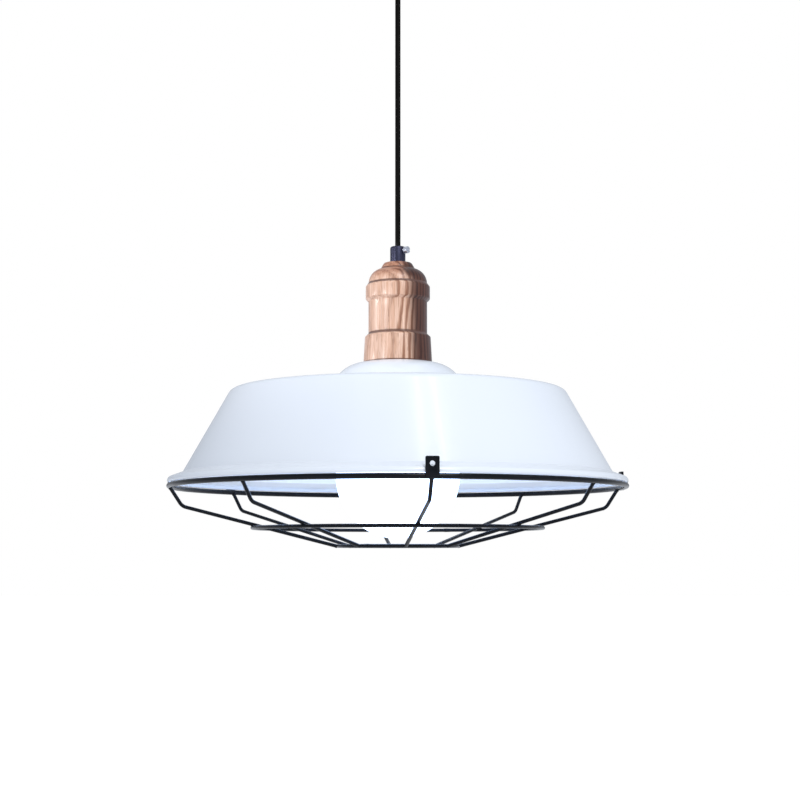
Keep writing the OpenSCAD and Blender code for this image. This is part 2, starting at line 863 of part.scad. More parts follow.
module guard_bottom_ring() {
    color(black)
        at_seat()
            wire_ring(bottom_ring_r, rib_wire_r, -bottom_z);
}

// One rib: two straight wires joined by a bend; i counts round from the front
module guard_rib(i) {
    up = unit(rib_top - rib_bend);
    down = unit(rib_foot - rib_bend);
    between = acos(up * down);
    setback = bend_r / tan(between / 2);
    centre = rib_bend + unit(up + down) * bend_r / sin(between / 2);
    from_top = rib_bend + up * setback - centre;
    color(black)
        at_seat()
            rotate([0, 0, -90 + rib_turn + rib_pitch * i]) {
                wire(rib_bend + up * (setback - bend_sink), rib_top, rib_wire_r);
                wire(rib_foot, rib_bend + down * (setback - bend_sink), rib_wire_r);
                translate([centre[0], 0, centre[1]])
                    rotate([90, 0, 0])
                        rotate([0, 0, atan2(from_top[1], from_top[0]) - 180 + between])
                            rotate_extrude(angle = 180 - between)
                                translate([bend_r, 0])
                                    circle(r = rib_wire_r + bend_swell, $fn = 32);
            }
}

// An upright tab on the outside of the top ring, over rib i
module guard_tab(i) {
    low = top_ring_z - top_wire_r * 0.8;
    hole_z = top_ring_z + tab_h - 4.9;
    color(black)
        at_seat()
            rotate([0, 0, -90 + rib_turn + rib_pitch * i])
                difference() {
                    union() {
                        translate([tab_in_r, -tab_w / 2, low])
                            cube([tab_t, tab_w, top_ring_z + tab_h - low - 1]);
                        translate([tab_in_r, -tab_w / 2 + 1, top_ring_z + tab_h - 1.5])
                            cube([tab_t, tab_w - 2, 1.5]);
                        for (s = [-1, 1])
                            translate([tab_in_r, s * (tab_w / 2 - 1), top_ring_z + tab_h - 1])
                                rotate([0, 90, 0])
                                    cylinder(r = 1, h = tab_t, $fn = 24);
                    }
                    translate([tab_in_r - cut, 0, hole_z])
                        rotate([0, 90, 0])
                            cylinder(r = tab_hole_r, h = tab_t + 2 * cut);
                }
}

ceiling_bracket();
canopy();
canopy_screws();
terminal_block();
terminal_screws();
block_screw();
canopy_grip();
canopy_grip_nut();
canopy_grip_screw();
cord_tail();
canopy_live_lead();
canopy_neutral_lead();
cord_bush();
cord();
lamp_grip();
lamp_grip_screw();
threaded_tube();
wood_cover();
tube_washer();
tube_nut();
cord_end();
lamp_live_lead();
lamp_neutral_lead();
lampholder_cap();
lampholder_body();
socket_shell();
centre_contact();
side_contact();
holder_screws();
shade();
shade_ring();
bulb_globe();
bulb_neck();
bulb_led_post();
bulb_cap();
bulb_insulator();
bulb_tip();
guard_top_ring();
guard_mid_ring();
guard_bottom_ring();
guard_rib(0);  // guard_rib_1
guard_rib(1);  // guard_rib_2
guard_rib(2);  // guard_rib_3
guard_rib(3);  // guard_rib_4
guard_rib(4);  // guard_rib_5
guard_rib(5);  // guard_rib_6
guard_rib(6);  // guard_rib_7
guard_rib(7);  // guard_rib_8
guard_tab(tab_ribs[0]);  // guard_tab_1
guard_tab(tab_ribs[1]);  // guard_tab_2
guard_tab(tab_ribs[2]);  // guard_tab_3
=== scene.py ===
import json
import math

import bpy
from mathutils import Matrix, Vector


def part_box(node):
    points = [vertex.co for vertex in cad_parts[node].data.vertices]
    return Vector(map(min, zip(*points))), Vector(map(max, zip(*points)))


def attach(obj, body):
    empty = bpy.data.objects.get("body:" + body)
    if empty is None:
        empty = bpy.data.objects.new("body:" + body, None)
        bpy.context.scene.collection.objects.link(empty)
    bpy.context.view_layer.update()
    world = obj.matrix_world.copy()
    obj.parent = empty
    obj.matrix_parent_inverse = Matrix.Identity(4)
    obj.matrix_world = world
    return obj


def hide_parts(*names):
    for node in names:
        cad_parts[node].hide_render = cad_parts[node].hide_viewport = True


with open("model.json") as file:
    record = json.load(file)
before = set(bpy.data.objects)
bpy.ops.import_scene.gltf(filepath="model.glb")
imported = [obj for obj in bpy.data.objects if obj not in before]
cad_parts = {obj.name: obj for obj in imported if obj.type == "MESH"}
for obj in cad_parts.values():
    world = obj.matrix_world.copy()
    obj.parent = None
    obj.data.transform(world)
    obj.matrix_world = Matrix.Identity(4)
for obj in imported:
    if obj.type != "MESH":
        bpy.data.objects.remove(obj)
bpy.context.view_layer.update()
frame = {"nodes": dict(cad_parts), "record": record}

# Pendant ceiling light. Metres, +Z up. Heights of the lamp's pieces are measured from the seat, the
# plane where the wood cover stands on the shade.

# ---- sizes, from the frame ----

def low_z(node):
    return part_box(node)[0].z


def high_z(node):
    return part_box(node)[1].z


def middle_z(node):
    return (low_z(node) + high_z(node)) / 2


def half_height(node):
    return (high_z(node) - low_z(node)) / 2


def half_width(node):
    """How far the node reaches along +X from the lamp's axis."""
    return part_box(node)[1].x


seat_z = low_z("wood_cover")
wood_h = high_z("wood_cover") - seat_z
foot_r = half_width("wood_cover")
lip_r = half_width("shade")
grip_r = half_width("lamp_grip")
grip_low = low_z("lamp_grip")
grip_top = high_z("lamp_grip")
canopy_r = half_width("canopy")
canopy_low = low_z("canopy")
canopy_top = high_z("canopy")
canopy_grip_r = half_width("canopy_grip")
canopy_grip_low = low_z("canopy_grip")
canopy_grip_top = high_z("canopy_grip")
bulb_r = half_width("bulb_globe")
bulb_z = low_z("bulb_globe") + bulb_r
bulb_cut_z = high_z("bulb_globe")
top_wire_r = half_height("guard_top_ring")
top_ring_r = half_width("guard_top_ring") - top_wire_r
top_ring_z = low_z("guard_top_ring") + top_wire_r
rib_wire_r = half_height("guard_bottom_ring")
mid_ring_r = half_width("guard_mid_ring") - rib_wire_r
mid_ring_z = low_z("guard_mid_ring") + rib_wire_r
bottom_ring_r = half_width("guard_bottom_ring") - rib_wire_r
bottom_ring_z = low_z("guard_bottom_ring") + rib_wire_r
cord_r = half_width("cord")

# ---- sizes of the shapes themselves ----

edge_break = 0.0003
groove_depth = 0.0003
merge_reach = 1e-6
pick_reach = 1e-5

cord_bore_r = cord_r + 0.0002
screw_hole_r = 0.00148
grip_screw_turn = -35

low_band_r = 0.0254
low_band_h = 0.0204
waist_r = 0.0227
top_band_r = 0.0249
top_band_z = 0.0500
top_band_top = 0.0618
band_bevel = 0.0022
dome_r = 0.0114
dome_end = 78
collar_r = 0.0109
hollow_r = 0.0196
hollow_top = 0.0600
recess_r = 0.0218
recess_h = 0.0043
tube_hole_r = 0.0043
pith = (-0.044, -0.050, 0.0)
# heights above the seat and half thicknesses of the dark lines round the wood: lines burnt in while turning
# that are also painted shade in the creases at the bands, dome and collar, and a painted contact shadow at
# the foot where the wood stands on the shade
burnt_and_shade_lines = ((0.0002, 0.0012), (low_band_h + band_bevel, 0.0018), (top_band_top, 0.0015),
               (wood_h - 0.0044, 0.0008))

sheet_t = 0.0010
shade_hole_r = 0.0195
dome_bend_r = 0.0260
dome_bend = 58
dome_fillet = 0.0050
shoulder = Vector((0.1280, -0.0217))
shoulder_fillet = 0.0070
top_slope = 4
wall_foot = Vector((lip_r - 0.0114, -0.0852))
wall_fillet = 0.0016
lip_slope = 20
lip_roll_r = 0.0032
lip_curl = -30

bulb_wall = 0.0015

rib_count = 8
rib_turn = 7.5
rib_bend_in = 0.0100
rib_bend_z = seat_z - 0.1107
rib_bend_r = 0.0070
wire_sink = 0.0003
tab_w = 0.0094
tab_t = 0.0015
tab_h = 0.0130
tab_hole_r = 0.0018
tab_hole_drop = 0.0049
tab_ribs = (0, 2, 5)
top_weld_r = 0.0017
foot_weld_r = 0.0016
tab_weld_r = 0.0010
tab_in_r = lip_r + 0.0003

# The cord's route: the flexing end in the canopy grip's bush, then down to the lamp's grip
cord_route = [
    (0, 0, -0.0367), (0, 0, -0.0376),
    (0, 0, -0.041), (0, 0, -0.051), (0, 0, -0.061), (0, 0, -0.071), (0, 0, -0.081), (0, 0, -0.091),
    (0, 0, -0.101), (0, 0, -0.111), (0, 0, -0.121), (0, 0, -0.131), (0, 0, -0.141), (0, 0, -0.151),
    (0, 0, -0.161), (0, 0, -0.171), (0, 0, -0.181), (0, 0, -0.191), (0, 0, -0.201), (0, 0, -0.211),
    (0, 0, -0.221), (0, 0, -0.231), (0, 0, -0.241), (0, 0, -0.251),
]


# ---- modelling, one step at a time ----

def deselect():
    bpy.ops.object.select_all(action="DESELECT")


def select_only(piece):
    deselect()
    piece.select_set(True)
    bpy.context.view_layer.objects.active = piece


def place_in_mesh(piece):
    """Puts the piece's place, turn and size in its mesh, so the object sits at the origin."""
    select_only(piece)
    bpy.ops.object.transform_apply(location=True, rotation=True, scale=True)


def open_with(piece, kind, elements, test):
    """Opens the mesh with only the corners, edges or faces that pass the test selected."""
    select_only(piece)
    bpy.ops.object.mode_set(mode="EDIT")
    bpy.ops.mesh.select_mode(type=kind)
    bpy.ops.mesh.select_all(action="DESELECT")
    bpy.ops.object.mode_set(mode="OBJECT")
    for element in getattr(piece.data, elements):
        element.select = test(element)
    bpy.ops.object.mode_set(mode="EDIT")


def select_corners(piece, test):
    """The test gets each corner's place."""
    open_with(piece, "VERT", "vertices", lambda corner: test(corner.co))


def select_edges(piece, test):
    """The test gets the places of each edge's two ends."""
    corners = piece.data.vertices
    open_with(piece, "EDGE", "edges", lambda edge: test(*(corners[v].co for v in edge.vertices)))


def select_faces(piece, test):
    """The test gets each face's middle and normal."""
    open_with(piece, "FACE", "polygons", lambda face: test(face.center, face.normal))


def close_mesh():
    bpy.ops.mesh.select_all(action="DESELECT")
    bpy.ops.object.mode_set(mode="OBJECT")


def merge_and_close():
    """Merges the corners that lie together, turns every face outwards and closes the mesh."""
    bpy.ops.mesh.select_all(action="SELECT")
    bpy.ops.mesh.remove_doubles(threshold=merge_reach)
    bpy.ops.mesh.normals_make_consistent(inside=False)
    close_mesh()


def apply_modifier(piece, kind, **settings):
    select_only(piece)
    modifier = piece.modifiers.new(kind.lower(), kind)
    for name, value in settings.items():
        setattr(modifier, name, value)
    bpy.ops.object.modifier_apply(modifier=modifier.name)


def ease_edges(piece, width, angle, segments=2):
    apply_modifier(piece, "BEVEL", width=width, segments=segments, limit_method="ANGLE",
                   angle_limit=math.radians(angle), harden_normals=False)


def smooth(piece, angle):
    select_only(piece)
    bpy.ops.object.shade_smooth_by_angle(angle=math.radians(angle))


def cut_away(piece, tool):
    apply_modifier(piece, "BOOLEAN", object=tool, operation="DIFFERENCE", solver="EXACT")
    bpy.data.objects.remove(tool)


def fuse(piece, other):
    apply_modifier(piece, "BOOLEAN", object=other, operation="UNION", solver="EXACT")
    bpy.data.objects.remove(other)


def copy_of(piece, name):
    twin = piece.copy()
    twin.data = piece.data.copy()
    twin.name = name
    bpy.context.scene.collection.objects.link(twin)
    return twin


def turned_copy(piece, name, angle):
    """A copy of the piece, turned about the lamp's axis by the angle in degrees."""
    twin = copy_of(piece, name)
    twin.rotation_euler = (0, 0, math.radians(angle))
    place_in_mesh(twin)
    return twin


def add_rod(name, radius, length, place, turned=0, sides=24):
    """A round rod that lies level along +X, turned about the upright by the angle in radians."""
    deselect()
    bpy.ops.mesh.primitive_cylinder_add(vertices=sides, radius=radius, depth=length, location=place,
                                        rotation=(0, math.radians(90), turned))
    rod = bpy.context.object
    rod.name = name
    return rod


def add_block(name, place, sizes):
    deselect()
    bpy.ops.mesh.primitive_cube_add(size=1, location=place)
    block = bpy.context.object
    block.name = name
    block.scale = sizes
    place_in_mesh(block)
    return block


def drill_side_hole(piece, depth, height, angle):
    """Drills a locking screw's hole from the lamp's axis outwards, at the angle in degrees from +X."""
    turned = math.radians(angle)
    middle = (depth / 2 * math.cos(turned), depth / 2 * math.sin(turned), height)
    cut_away(piece, add_rod("drill", screw_hole_r, depth, middle, turned))


def draw_line(name, points):
    """A line of edges through the points, drawn by extruding one corner from point to point."""
    deselect()
    bpy.ops.mesh.primitive_plane_add(size=0.001, location=points[0])
    piece = bpy.context.object
    piece.name = name
    place_in_mesh(piece)
    bpy.ops.object.mode_set(mode="EDIT")
    bpy.ops.mesh.select_mode(type="VERT")
    bpy.ops.mesh.select_all(action="SELECT")
    bpy.ops.mesh.merge(type="CENTER")
    for here, there in zip(points, points[1:]):
        step = Vector(there) - Vector(here)
        bpy.ops.mesh.extrude_region_move(TRANSFORM_OT_translate={"value": step})
    bpy.ops.object.mode_set(mode="OBJECT")
    return piece


def turn(name, outline, steps, closed=True):
    """Spins an outline of (radius, height) points right round the lamp's axis."""
    points = [(r, 0, z) for r, z in outline]
    if closed:
        points.append(points[0])
    piece = draw_line(name, points)
    bpy.ops.object.mode_set(mode="EDIT")
    bpy.ops.mesh.select_all(action="SELECT")
    bpy.ops.mesh.remove_doubles(threshold=merge_reach)
    bpy.ops.mesh.spin(steps=steps, angle=math.tau, center=(0, 0, 0), axis=(0, 0, 1))
    merge_and_close()
    return piece


def arc(centre, radius, start, end, count):
    """Points on an arc, with angles in degrees: 0 is outwards and 90 is up."""
    angles = [math.radians(start + (end - start) * i / count) for i in range(count + 1)]
    return [Vector((centre[0] + radius * math.cos(a), centre[1] + radius * math.sin(a))) for a in angles]


def straight(start, end, count):
    """Points inside a straight stretch, without its two ends."""
    return [Vector(start).lerp(Vector(end), i / count) for i in range(1, count)]


def round_centre(corner, slope_in, slope_out, radius):
    """Centre of the round between two lines that fall outwards at the slopes and meet at the corner.
    A negative radius puts the centre on the outer side."""
    a, b = math.radians(slope_in), math.radians(slope_out)
    spread = 1 + math.sin(a) * math.sin(b) + math.cos(a) * math.cos(b)
    return corner - radius * Vector((math.sin(a) + math.sin(b), math.cos(a) + math.cos(b))) / spread


def groove(outer_r, middle, half, floor_half, depth):
    """The four points of a fine groove round a turned piece, from its upper edge to its lower one."""
    return [(outer_r, middle + half), (outer_r - depth, middle + floor_half),
            (outer_r - depth, middle - floor_half), (outer_r, middle - half)]


def at_seat(points):
    return [(r, seat_z + z) for r, z in points]


def bent_wire(name, points, radius, setback):
    """A round wire through the points, with each inner corner bent from setback before to setback after."""
    wire = draw_line(name, points)
    ends = (Vector(points[0]), Vector(points[-1]))
    if setback:
        select_corners(wire, lambda co: min((co - end).length for end in ends) > pick_reach)
        bpy.ops.mesh.bevel(offset=setback, offset_type="OFFSET", segments=10, affect="VERTICES")
        close_mesh()
    select_only(wire)
    bpy.ops.object.convert(target="CURVE")
    wire = bpy.context.object
    wire.data.bevel_depth = radius
    wire.data.bevel_resolution = 6
    wire.data.use_fill_caps = True
    bpy.ops.object.convert(target="MESH")
    wire = bpy.context.object
    bpy.ops.object.mode_set(mode="EDIT")
    merge_and_close()
    return wire


# ---- effects that several finishes share ----

def feed(tree, socket, source):
    """Links the source to the socket, or sets it there when it is a plain value."""
    if isinstance(source, bpy.types.NodeSocket):
        tree.links.new(source, socket)
    else:
        socket.default_value = source


def add_node(tree, kind, links=None, **settings):
    """Adds a node, sets its named settings, and fills its inputs from links: a socket or a value each."""
    node = tree.nodes.new(kind)
    for name, value in settings.items():
        setattr(node, name, value)
    for label, source in (links or {}).items():
        feed(tree, node.inputs[label], source)
    return node


def maths(tree, operation, *values):
    node = add_node(tree, "ShaderNodeMath", dict(enumerate(values)), operation=operation)
    return node.outputs[0]


def vector_maths(tree, operation, *values):
    return add_node(tree, "ShaderNodeVectorMath", dict(enumerate(values)), operation=operation)


def noise(tree, vector, scale, detail=3, roughness=0.5):
    links = {"Vector": vector, "Scale": scale, "Detail": detail, "Roughness": roughness}
    return add_node(tree, "ShaderNodeTexNoise", links).outputs["Fac"]


def soft_step(tree, value, low, high, to_low=0.0, to_high=1.0):
    links = {"Value": value, "From Min": low, "From Max": high, "To Min": to_low, "To Max": to_high}
    node = add_node(tree, "ShaderNodeMapRange", links, interpolation_type="SMOOTHSTEP")
    return node.outputs["Result"]


def mix_colours(tree, share, one, other, blend="MIX"):
    links = {0: share, 6: one, 7: other}
    return add_node(tree, "ShaderNodeMix", links, data_type="RGBA", blend_type=blend).outputs[2]


def object_place(tree):
    return add_node(tree, "ShaderNodeTexCoord").outputs["Object"]


def effect(name, inputs, outputs):
    """An empty node group with the named sockets, its input sockets and its output node."""
    tree = bpy.data.node_groups.new(name, "ShaderNodeTree")
    for label, kind, value in inputs:
        socket = tree.interface.new_socket(label, in_out="INPUT", socket_type="NodeSocket" + kind)
        socket.default_value = value
    for label, kind in outputs:
        tree.interface.new_socket(label, in_out="OUTPUT", socket_type="NodeSocket" + kind)
    entry = add_node(tree, "NodeGroupInput").outputs
    return tree, entry, add_node(tree, "NodeGroupOutput")


def fine_grain_effect():
    """A fine surface texture: a roughness that drifts between two values, and a height for a bump."""
    tree, entry, out = effect(
        "fine_grain",
        [("Scale", "Float", 400.0), ("Stretch", "Vector", (1, 1, 1)),
         ("Smoothest", "Float", 0.3), ("Roughest", "Float", 0.5)],
        [("Roughness", "Float"), ("Height", "Float")])
    place = vector_maths(tree, "MULTIPLY", object_place(tree), entry["Stretch"]).outputs[0]
    fine = noise(tree, place, entry["Scale"], detail=4, roughness=0.6)
    broad = noise(tree, place, maths(tree, "MULTIPLY", entry["Scale"], 0.08), detail=2)
    blend = maths(tree, "ADD", maths(tree, "MULTIPLY", fine, 0.4), maths(tree, "MULTIPLY", broad, 0.6))
    drift = soft_step(tree, blend, 0.35, 0.65, entry["Smoothest"], entry["Roughest"])
    tree.links.new(drift, out.inputs["Roughness"])
    tree.links.new(fine, out.inputs["Height"])
    return tree


def colour_drift_effect():
    """A colour that drifts slowly between two shades."""
    tree, entry, out = effect(
        "colour_drift",
        [("Shade", "Color", (0.5, 0.5, 0.5, 1)), ("Deeper", "Color", (0.4, 0.4, 0.4, 1)),
         ("Scale", "Float", 40.0)],
        [("Colour", "Color")])
    cloud = noise(tree, object_place(tree), entry["Scale"], detail=4)
    share = soft_step(tree, cloud, 0.35, 0.7)
    tree.links.new(mix_colours(tree, share, entry["Shade"], entry["Deeper"]), out.inputs["Colour"])
    return tree


def edge_wear_effect():
    """A mask of the sharp edges, where a finish rubs thin, broken up by noise."""
    tree, entry, out = effect(
        "edge_wear", [("Reach", "Float", 0.04), ("Scale", "Float", 300.0)], [("Mask", "Float")])
    pointiness = add_node(tree, "ShaderNodeNewGeometry").outputs["Pointiness"]
    start = maths(tree, "SUBTRACT", 0.6, entry["Reach"])
    edge = soft_step(tree, pointiness, start, 0.62)
    patches = soft_step(tree, noise(tree, object_place(tree), entry["Scale"]), 0.4, 0.7)
    tree.links.new(maths(tree, "MULTIPLY", edge, patches), out.inputs["Mask"])
    return tree


def settled_dust_effect():
    """A mask of thin dust on what faces up, in soft patches."""
    tree, entry, out = effect(
        "settled_dust", [("Amount", "Float", 0.2), ("Scale", "Float", 60.0)], [("Mask", "Float")])
    normal = add_node(tree, "ShaderNodeNewGeometry").outputs["Normal"]
    upward = add_node(tree, "ShaderNodeSeparateXYZ", {0: normal}).outputs["Z"]
    lying = soft_step(tree, upward, 0.3, 1.0)
    patches = soft_step(tree, noise(tree, object_place(tree), entry["Scale"], detail=5), 0.3, 0.75)
    mask = maths(tree, "MULTIPLY", maths(tree, "MULTIPLY", lying, patches), entry["Amount"])
    tree.links.new(mask, out.inputs["Mask"])
    return tree


def turning_marks_effect():
    """Fine rings left by a lathe: a height that changes along the axis and away from it."""
    tree, entry, out = effect("turning_marks", [("Rings", "Float", 2500.0)], [("Height", "Float")])
    place = object_place(tree)
    flat = vector_maths(tree, "MULTIPLY", place, (1, 1, 0)).outputs[0]
    away = vector_maths(tree, "LENGTH", flat).outputs["Value"]
    along = add_node(tree, "ShaderNodeSeparateXYZ", {0: place}).outputs["Z"]
    line = add_node(tree, "ShaderNodeCombineXYZ", {0: away, 1: along}).outputs[0]
    tree.links.new(noise(tree, line, entry["Rings"], detail=2), out.inputs["Height"])
    return tree


fine_grain = fine_grain_effect()
colour_drift = colour_drift_effect()
edge_wear = edge_wear_effect()
settled_dust = settled_dust_effect()
turning_marks = turning_marks_effect()


# ---- finishes ----

def rgb(red, green, blue):
    return (red, green, blue, 1)


def new_finish(name, **shader_values):
    """A material with one Principled shader, whose constant values are set on its own sockets."""
    material = bpy.data.materials.new(name)
    material.use_nodes = True
    tree = material.node_tree
    shader = next(node for node in tree.nodes if node.type == "BSDF_PRINCIPLED")
    for label, value in shader_values.items():
        shader.inputs[label.replace("_", " ").title().replace("Ior", "IOR")].default_value = value
    return material, tree, shader


def place_effect(tree, group, **values):
    node = add_node(tree, "ShaderNodeGroup", node_tree=group)
    for label, value in values.items():
        feed(tree, node.inputs[label.title()], value)
    return node


def bump(tree, shader, height, distance):
    node = add_node(tree, "ShaderNodeBump", {"Height": height, "Distance": distance, "Strength": 1.0})
    tree.links.new(node.outputs["Normal"], shader.inputs["Normal"])


def metal(name, shade, deeper, smoothest, roughest, rings=2500.0, ring_depth=2e-6):
    """Turned or plated metal: fine lathe rings, cloudy plating and brighter rubbed edges."""
    material, tree, shader = new_finish(name, metallic=1.0)
    drift = place_effect(tree, colour_drift, shade=shade, deeper=deeper, scale=90.0)
    wear = place_effect(tree, edge_wear, reach=0.05, scale=500.0)
    bright = tuple(min(1.0, channel * 1.5 + 0.08) for channel in shade[:3]) + (1,)
    colour = mix_colours(tree, wear.outputs["Mask"], drift.outputs["Colour"], bright)
    tree.links.new(colour, shader.inputs["Base Color"])
    grain = place_effect(tree, fine_grain, scale=900.0, smoothest=smoothest, roughest=roughest)
    tree.links.new(grain.outputs["Roughness"], shader.inputs["Roughness"])
    marks = place_effect(tree, turning_marks, rings=rings)
    bump(tree, shader, marks.outputs["Height"], ring_depth)
    return material


def moulded(name, shade, deeper, smoothest, roughest, scale=1200.0, depth=4e-6, **shader_values):
    """Moulded plastic or rubber: a faint mould texture, drifting colour and paler rubbed edges."""
    material, tree, shader = new_finish(name, **shader_values)
    drift = place_effect(tree, colour_drift, shade=shade, deeper=deeper, scale=120.0)
    wear = place_effect(tree, edge_wear, reach=0.04, scale=700.0)
    pale = tuple(min(1.0, channel * 1.3 + 0.03) for channel in shade[:3]) + (1,)
    colour = mix_colours(tree, wear.outputs["Mask"], drift.outputs["Colour"], pale)
    tree.links.new(colour, shader.inputs["Base Color"])
    grain = place_effect(tree, fine_grain, scale=scale, smoothest=smoothest, roughest=roughest)
    tree.links.new(grain.outputs["Roughness"], shader.inputs["Roughness"])
    bump(tree, shader, grain.outputs["Height"], depth)
    return material


def black_lacquer(name, shade, deeper, smoothest, roughest, peel_scale, peel_depth, dust, shine):
    """Black paint on steel: orange peel, rubbed edges with dark steel under, and a little dust."""
    material, tree, shader = new_finish(name, specular_ior_level=shine)
    drift = place_effect(tree, colour_drift, shade=shade, deeper=deeper, scale=60.0)
    wear = place_effect(tree, edge_wear, reach=0.03, scale=600.0)
    worn = mix_colours(tree, wear.outputs["Mask"], drift.outputs["Colour"], rgb(0.03, 0.03, 0.034))
    powder = place_effect(tree, settled_dust, amount=dust, scale=90.0)
    colour = mix_colours(tree, powder.outputs["Mask"], worn, rgb(0.16, 0.16, 0.16))
    tree.links.new(colour, shader.inputs["Base Color"])
    grain = place_effect(tree, fine_grain, scale=peel_scale, smoothest=smoothest, roughest=roughest)
    tree.links.new(grain.outputs["Roughness"], shader.inputs["Roughness"])
    bump(tree, shader, grain.outputs["Height"], peel_depth)
    return material


def white_enamel():
    """Vitreous enamel: a cool white, glossy, with a slow wave from the firing and fine pinholes."""
    material, tree, shader = new_finish("white_enamel", coat_weight=0.3, coat_roughness=0.12,
                                        specular_ior_level=0.35)
    place = object_place(tree)
    drift = place_effect(tree, colour_drift, shade=rgb(0.81, 0.85, 0.91), deeper=rgb(0.80, 0.842, 0.905),
                         scale=9.0)
    specks = soft_step(tree, noise(tree, place, 1400.0, detail=1), 0.79, 0.83)
    speckled = mix_colours(tree, maths(tree, "MULTIPLY", specks, 0.3), drift.outputs["Colour"],
                           rgb(0.42, 0.43, 0.45))
    wear = place_effect(tree, edge_wear, reach=0.03, scale=400.0)
    thin = mix_colours(tree, maths(tree, "MULTIPLY", wear.outputs["Mask"], 0.3), speckled,
                       rgb(0.50, 0.52, 0.56))
    powder = place_effect(tree, settled_dust, amount=0.02, scale=20.0)
    colour = mix_colours(tree, powder.outputs["Mask"], thin, rgb(0.66, 0.65, 0.62))
    tree.links.new(colour, shader.inputs["Base Color"])
    grain = place_effect(tree, fine_grain, scale=300.0, smoothest=0.26, roughest=0.27)
    tree.links.new(grain.outputs["Roughness"], shader.inputs["Roughness"])
    wave = noise(tree, place, 18.0, detail=1)
    height = maths(tree, "ADD", maths(tree, "MULTIPLY", wave, 12.0), grain.outputs["Height"])
    bump(tree, shader, height, 4e-7)
    return material


